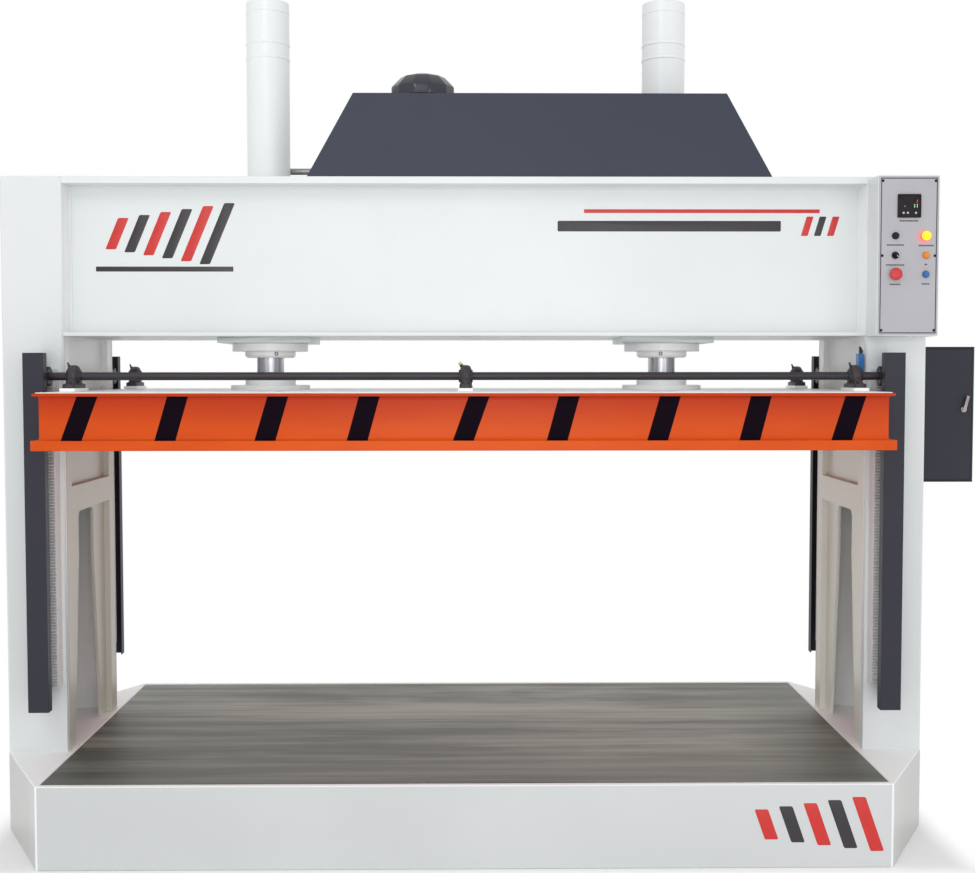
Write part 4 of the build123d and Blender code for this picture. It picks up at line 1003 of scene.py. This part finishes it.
class PRESS_OT_control_box(PressStep, bpy.types.Operator):
    """Dress the control box and make the panel's meter, lamp, buttons, screws and signs"""

    bl_idname = "press.control_box"
    bl_label = "Control box"

    def make(self, sizes, colours):
        dress(frame_enamel(colours), sizes.edge, "control_box")
        lamp = middle("power_lamp")
        film = finish(panel_film, "panel_film", colours.panel, shown(58, 44, 74), shown(255, 84, 104), lamp)
        coat(film, "control_panel")
        black = black_plastic()
        button = [
            [0.0112, 0], [0.0112, 0.0025], [0.0104, 0.0035], [0.0098, 0.0035],
            [0.0094, 0.009], [0.0086, 0.0098], [0.0066, 0.0094],
        ]
        looks = {
            "start_button": black,
            "up_button": plastic("orange_plastic", (226, 132, 22), 0.28),
            "down_button": plastic("blue_plastic", (34, 96, 164), 0.28),
        }
        for node, material in looks.items():
            piece("turned_" + node, [turned(button, on_panel(node), -Y, 40)], material, node, [node])
        dome = turned([
            [0.0132, 0], [0.0138, 0.003], [0.0134, 0.006],
            [0.0116, 0.0098], [0.0082, 0.0122], [0.004, 0.0129],
        ], on_panel("power_lamp"), -Y, 40)
        lens = plastic("lamp_lens", (255, 226, 22), 0.2, 0.9)
        piece("lamp_dome", [dome], lens, "frame", ["power_lamp"])
        mushroom = turned([
            [0.0085, 0], [0.0085, 0.008], [0.0165, 0.0085], [0.0188, 0.0105],
            [0.019, 0.014], [0.0178, 0.0178], [0.014, 0.0202], [0.008, 0.0208],
        ], on_panel("emergency_stop"), -Y, 48)
        red = plastic("red_plastic", (204, 44, 56), 0.3)
        piece("stop_mushroom", [mushroom], red, "emergency_stop", ["emergency_stop"])
        self.selector(black)
        self.meter(black)
        self.screws(sizes)
        self.signs()

    def selector(self, black):
        """A low disc with a waisted grip set at 45 degrees, and a pale pointer on the grip."""
        place = on_panel("mode_selector")
        disc = turned([[0.0112, 0], [0.0112, 0.003], [0.0102, 0.0042]], place, -Y, 40)
        across, up = (X - Z) / math.sqrt(2), (X + Z) / math.sqrt(2)
        length, width, waist = 0.0205, 0.0078, 0.22
        grip = rounded(length, width, 0.0036, 5)
        grip[:, 1] *= 1 - waist * np.cos(np.pi * grip[:, 0] / length)
        handle = raised(grip, soft_levels(0.0122, 0.0015), place - 0.0036 * Y, across, up)
        piece("selector_knob", [disc, handle], black, "mode_selector", ["mode_selector"])
        line = rounded(0.0075, 0.0016, 0.0007, 3)
        grip_front = place - 0.0157 * Y + 0.0055 * across
        mark = raised(line, soft_levels(0.0004, 0.0002), grip_front, across, up)
        white = plastic("white_print", (236, 236, 236), 0.4)
        piece("selector_pointer", [mark], white, "mode_selector")

    def meter(self, black):
        """A bezel round a sunk window, three keys, a dot and numerals made of bars."""
        centre = on_panel("hour_meter")
        size, window_depth = 0.072, 0.0046
        bezel = raised(rounded(size, size, 0.003), [
            [0, 0], [0, 0.004], [0.0006, 0.0056],
            [0.0015, 0.006], [0.0035, 0.006], [0.0042, window_depth],
        ], centre)
        piece("meter_bezel", [bezel], black, "frame", ["hour_meter"])
        face = centre - window_depth * Y
        key, key_levels = rounded(0.0062, 0.0062, 0.002, 3), soft_levels(0.0009, 0.0004)
        keys = [raised(key, key_levels, face + x * X - 0.0215 * Z) for x in (-0.0185, -0.0055, 0.0195)]
        dot = turned([[0.0016, 0], [0.0012, 0.0006]], face - 0.0145 * X - 0.0015 * Z, -Y, 16)
        pale = plastic("key_plastic", (196, 192, 196), 0.4)
        piece("meter_keys", keys + [dot], pale, "frame")
        red = plastic("red_segments", (255, 50, 80), 0.4, 1.0)
        piece("meter_red_digit", upright_numeral(face + 0.0205 * X + 0.0135 * Z, 0.0105), red, "frame")
        green = plastic("green_segments", (176, 238, 170), 0.4, 0.8)
        digits = [bar for x in (0.0125, 0.0205) for bar in upright_numeral(face + x * X, 0.0115)]
        piece("meter_green_digits", digits, green, "frame")

    def screws(self, sizes):
        """Six pan heads at the panel's edge."""
        centre, half = middle("control_panel"), (high("control_panel") - low("control_panel")) / 2
        r = sizes.screw
        head = [[r, 0], [r, 0.0008], [r * 0.8, 0.0018], [r * 0.4, 0.0022]]
        inset_x, inset_z = 0.0105, 0.014
        across, up = half[0] - inset_x, half[2] - inset_z
        heads = [
            turned(head, centre * (X + Z) + PANEL_Y * Y + x * X + z * Z, -Y, 20)
            for x in (-across, across) for z in (-up, 0.0, up)
        ]
        dark = plain_metal("black_screws", (44, 40, 50), 0.4)
        piece("panel_screws", heads, dark, "frame")

    def signs(self):
        """Plain marks below the controls: rows of small blocks."""
        rows = (  # node, drop below its middle, width
            ("hour_meter", 0.0455, 0.058), ("start_button", 0.0285, 0.052), ("power_lamp", 0.03, 0.046),
            ("mode_selector", 0.0295, 0.06), ("up_button", 0.028, 0.01), ("emergency_stop", 0.031, 0.034),
            ("down_button", 0.0295, 0.026),
        )
        block, pitch = 0.0036, 0.0048
        outline = rounded(block, block * 1.25, block * 0.2, 2)
        marks = []
        for node, drop, width in rows:
            count = round(width / pitch)
            for step in range(count):
                place = on_panel(node) - drop * Z + (step - (count - 1) / 2) * pitch * X
                marks.append(raised(outline, [[0, 0], [0, 0.00025], [0.0002, 0.0003]], place))
        piece("panel_signs", marks, plastic("panel_ink", (60, 50, 68), 0.5), "frame")


def upright_numeral(centre, height):
    """The numeral one, made of two upright bars that lean a little, each pressed on the meter's face."""
    lean, half = 0.08, height / 2
    bars = []
    for z in (half / 2, -half / 2):
        outline = rounded(height * 0.13, half * 0.82, height * 0.05, 2, lean)
        bars.append(raised(outline, [[0, 0], [0, 0.0004]], centre + (height * 0.24 + lean * z) * X + z * Z))
    return bars


class PRESS_OT_cabinet(PressStep, bpy.types.Operator):
    """Dress the electrical cabinet, its door and its lock"""

    bl_idname = "press.cabinet"
    bl_label = "Cabinet"

    def make(self, sizes, colours):
        coat(charcoal(colours), "cabinet_box")
        door = finish(rim_shaded_enamel, "cabinet_door_enamel", colours.charcoal, "cabinet_door")
        dress(door, sizes.edge * 0.6, "cabinet_door")
        coat(plain_metal("lock_nickel", (152, 146, 144), 0.34), "cabinet_lock")


class PRESS_OT_limit_switch(PressStep, bpy.types.Operator):
    """Dress the limit switch, its lever and its bracket"""

    bl_idname = "press.limit_switch"
    bl_label = "Limit switch"

    def make(self, sizes, colours):
        blue = plastic("switch_blue", (36, 110, 180), 0.34)
        dress(blue, 0.0007, "limit_switch")
        coat(black_plastic(), "switch_lever")
        coat(bright_steel(), "switch_bracket")


class PRESS_OT_stripes(PressStep, bpy.types.Operator):
    """Lay plain colour bars on the crosshead and the base"""

    bl_idname = "press.stripes"
    bl_label = "Colour bars"

    def make(self, sizes, colours):
        levels = [[0, -0.0001], [0, 0.0003], [0.0003, 0.0004]]

        def bar(x, z, width, height, y=WEB_Y, lean=0.0):
            """A flat bar on an upright face, sheared by its lean."""
            outline = rounded(width, height, min(height, width) * 0.12, 3, lean)
            return raised(outline, levels, np.array([x, y, z]))

        red = plastic("bar_red", (206, 44, 38), 0.36)
        dark = plastic("bar_dark", (46, 42, 46), 0.36)
        reds = [bar(0.76, 1.978, 0.76, 0.012)]
        darks = [bar(-0.967, 1.792, 0.44, 0.016), bar(0.655, 1.93, 0.72, 0.034)]
        # Fans of slanted bars: how many, the first one's x, pitch, z, width, height, growth, face and lean
        for count, x, pitch, z, width, height, growth, face, lean in (
            (6, -1.118, 0.064, 1.905, 0.034, 0.1, 0.019, WEB_Y, 0.42),
            (3, 1.1, 0.042, 1.93, 0.022, 0.062, 0.0, WEB_Y, 0.3),
            (5, 0.885, 0.075, 0.13, 0.04, 0.09, 0.018, BASE_FRONT, -0.35),
        ):
            for step in range(count):
                target = darks if step % 2 else reds
                target.append(bar(x + step * pitch, z, width, height + growth * step, face, lean))
        piece("red_bars", reds, red, "frame")
        piece("dark_bars", darks, dark, "frame")


class PRESS_OT_stage(PressStep, bpy.types.Operator):
    """Lay the floor, light the press and place the camera"""

    bl_idname = "press.stage"
    bl_label = "Stage"

    def make(self, sizes, colours):
        scene = bpy.context.scene
        scene.view_settings.view_transform = "Standard"
        self.floor(scene)
        self.world(scene)
        for name, place, size, watts in LAMPS:
            lamp = bpy.data.lights.new(name, "AREA")
            lamp.size = size
            lamp.energy = watts
            made = bpy.data.objects.new(name, lamp)
            made.location = place
            aim = np.array(place) - LAMPS_AIM_HEIGHT * Z
            tilt = math.atan2(math.hypot(aim[0], aim[1]), aim[2])
            made.rotation_euler = (tilt, 0, math.atan2(aim[1], aim[0]) + math.pi / 2)
            scene.collection.objects.link(made)
        lens = bpy.data.cameras.new("front_camera")
        lens.lens = FOCAL_LENGTH
        lens.sensor_width = SENSOR_WIDTH
        lens.sensor_fit = "HORIZONTAL"
        camera = bpy.data.objects.new("front_camera", lens)
        camera.location = CAMERA_PLACE
        camera.rotation_euler = CAMERA_TURN
        scene.collection.objects.link(camera)
        scene.camera = camera

    def floor(self, scene):
        """A sheet with a pale colour near the press, and plain white to the camera further off."""
        half, depth_below = 14.0, 0.0005
        corners = [(-half, -half), (half, -half), (half, half), (-half, half)]
        data = bpy.data.meshes.new("floor")
        data.from_pydata([(x, y, -depth_below) for x, y in corners], [], [(0, 1, 2, 3)])
        paint = Paint("floor_paint")
        across, depth, _ = paint.axes()
        near_x, near_y = 1.46, 0.65
        near = (abs(across) - near_x) | (abs(depth) - near_y)
        grain = paint.noise(3.0, 3.0)
        paint.finish(Base_Color=paint.mix(grain, shown(247, 247, 247), shown(250, 250, 250)), Roughness=0.7)
        mask = near.ramp(-0.03, 0.08) * paint.seen()
        white = paint.node("Emission", {}, (1, 1, 1, 1), 1.0)
        shader = Wire(paint, paint.shader.outputs[0])
        mixed = paint.node("MixShader", {}, mask, shader, white)
        paint.feed(paint.tree.nodes["Material Output"].inputs[0], mixed)
        data.materials.append(paint.material)
        made = bpy.data.objects.new("floor", data)
        scene.collection.objects.link(made)

    def world(self, scene):
        """White to the camera, to reflections and through glass, and a plain soft light on the press."""
        scene.world = bpy.data.worlds.new("studio")
        paint = Paint("studio", scene.world)
        strength = paint.node("MapRange", {}, paint.seen(), 0.0, 1.0, LIGHT_FROM_ALL_SIDES, 1.0)
        paint.finish(Color=(1, 1, 1, 1), Strength=strength)


OPERATORS = (
    PRESS_OT_frame, PRESS_OT_cylinders, PRESS_OT_platen, PRESS_OT_gearing, PRESS_OT_tank,
    PRESS_OT_power_unit, PRESS_OT_control_box, PRESS_OT_cabinet, PRESS_OT_limit_switch,
    PRESS_OT_stripes, PRESS_OT_stage,
)


class PRESS_PT_steps(bpy.types.Panel):
    """The press's sizes, colours and steps"""

    bl_label = "Press"
    bl_space_type = "VIEW_3D"
    bl_region_type = "UI"
    bl_category = "Press"

    def draw(self, context):
        for group in (context.scene.press_sizes, context.scene.press_colours):
            column = self.layout.column()
            for key in group.__annotations__:
                column.prop(group, key)
        for step in OPERATORS:
            self.layout.operator(step.bl_idname)


CLASSES = (PressSizes, PressColours) + OPERATORS + (PRESS_PT_steps,)


def register():
    for cls in CLASSES:
        bpy.utils.register_class(cls)
    bpy.types.Scene.press_sizes = bpy.props.PointerProperty(type=PressSizes)
    bpy.types.Scene.press_colours = bpy.props.PointerProperty(type=PressColours)


def unregister():
    del bpy.types.Scene.press_colours
    del bpy.types.Scene.press_sizes
    for cls in reversed(CLASSES):
        bpy.utils.unregister_class(cls)


def main():
    """Registers the add-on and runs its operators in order."""
    register()
    for step in OPERATORS:
        group, name = step.bl_idname.split(".")
        getattr(getattr(bpy.ops, group), name)()


if __name__ == "__main__":
    main()
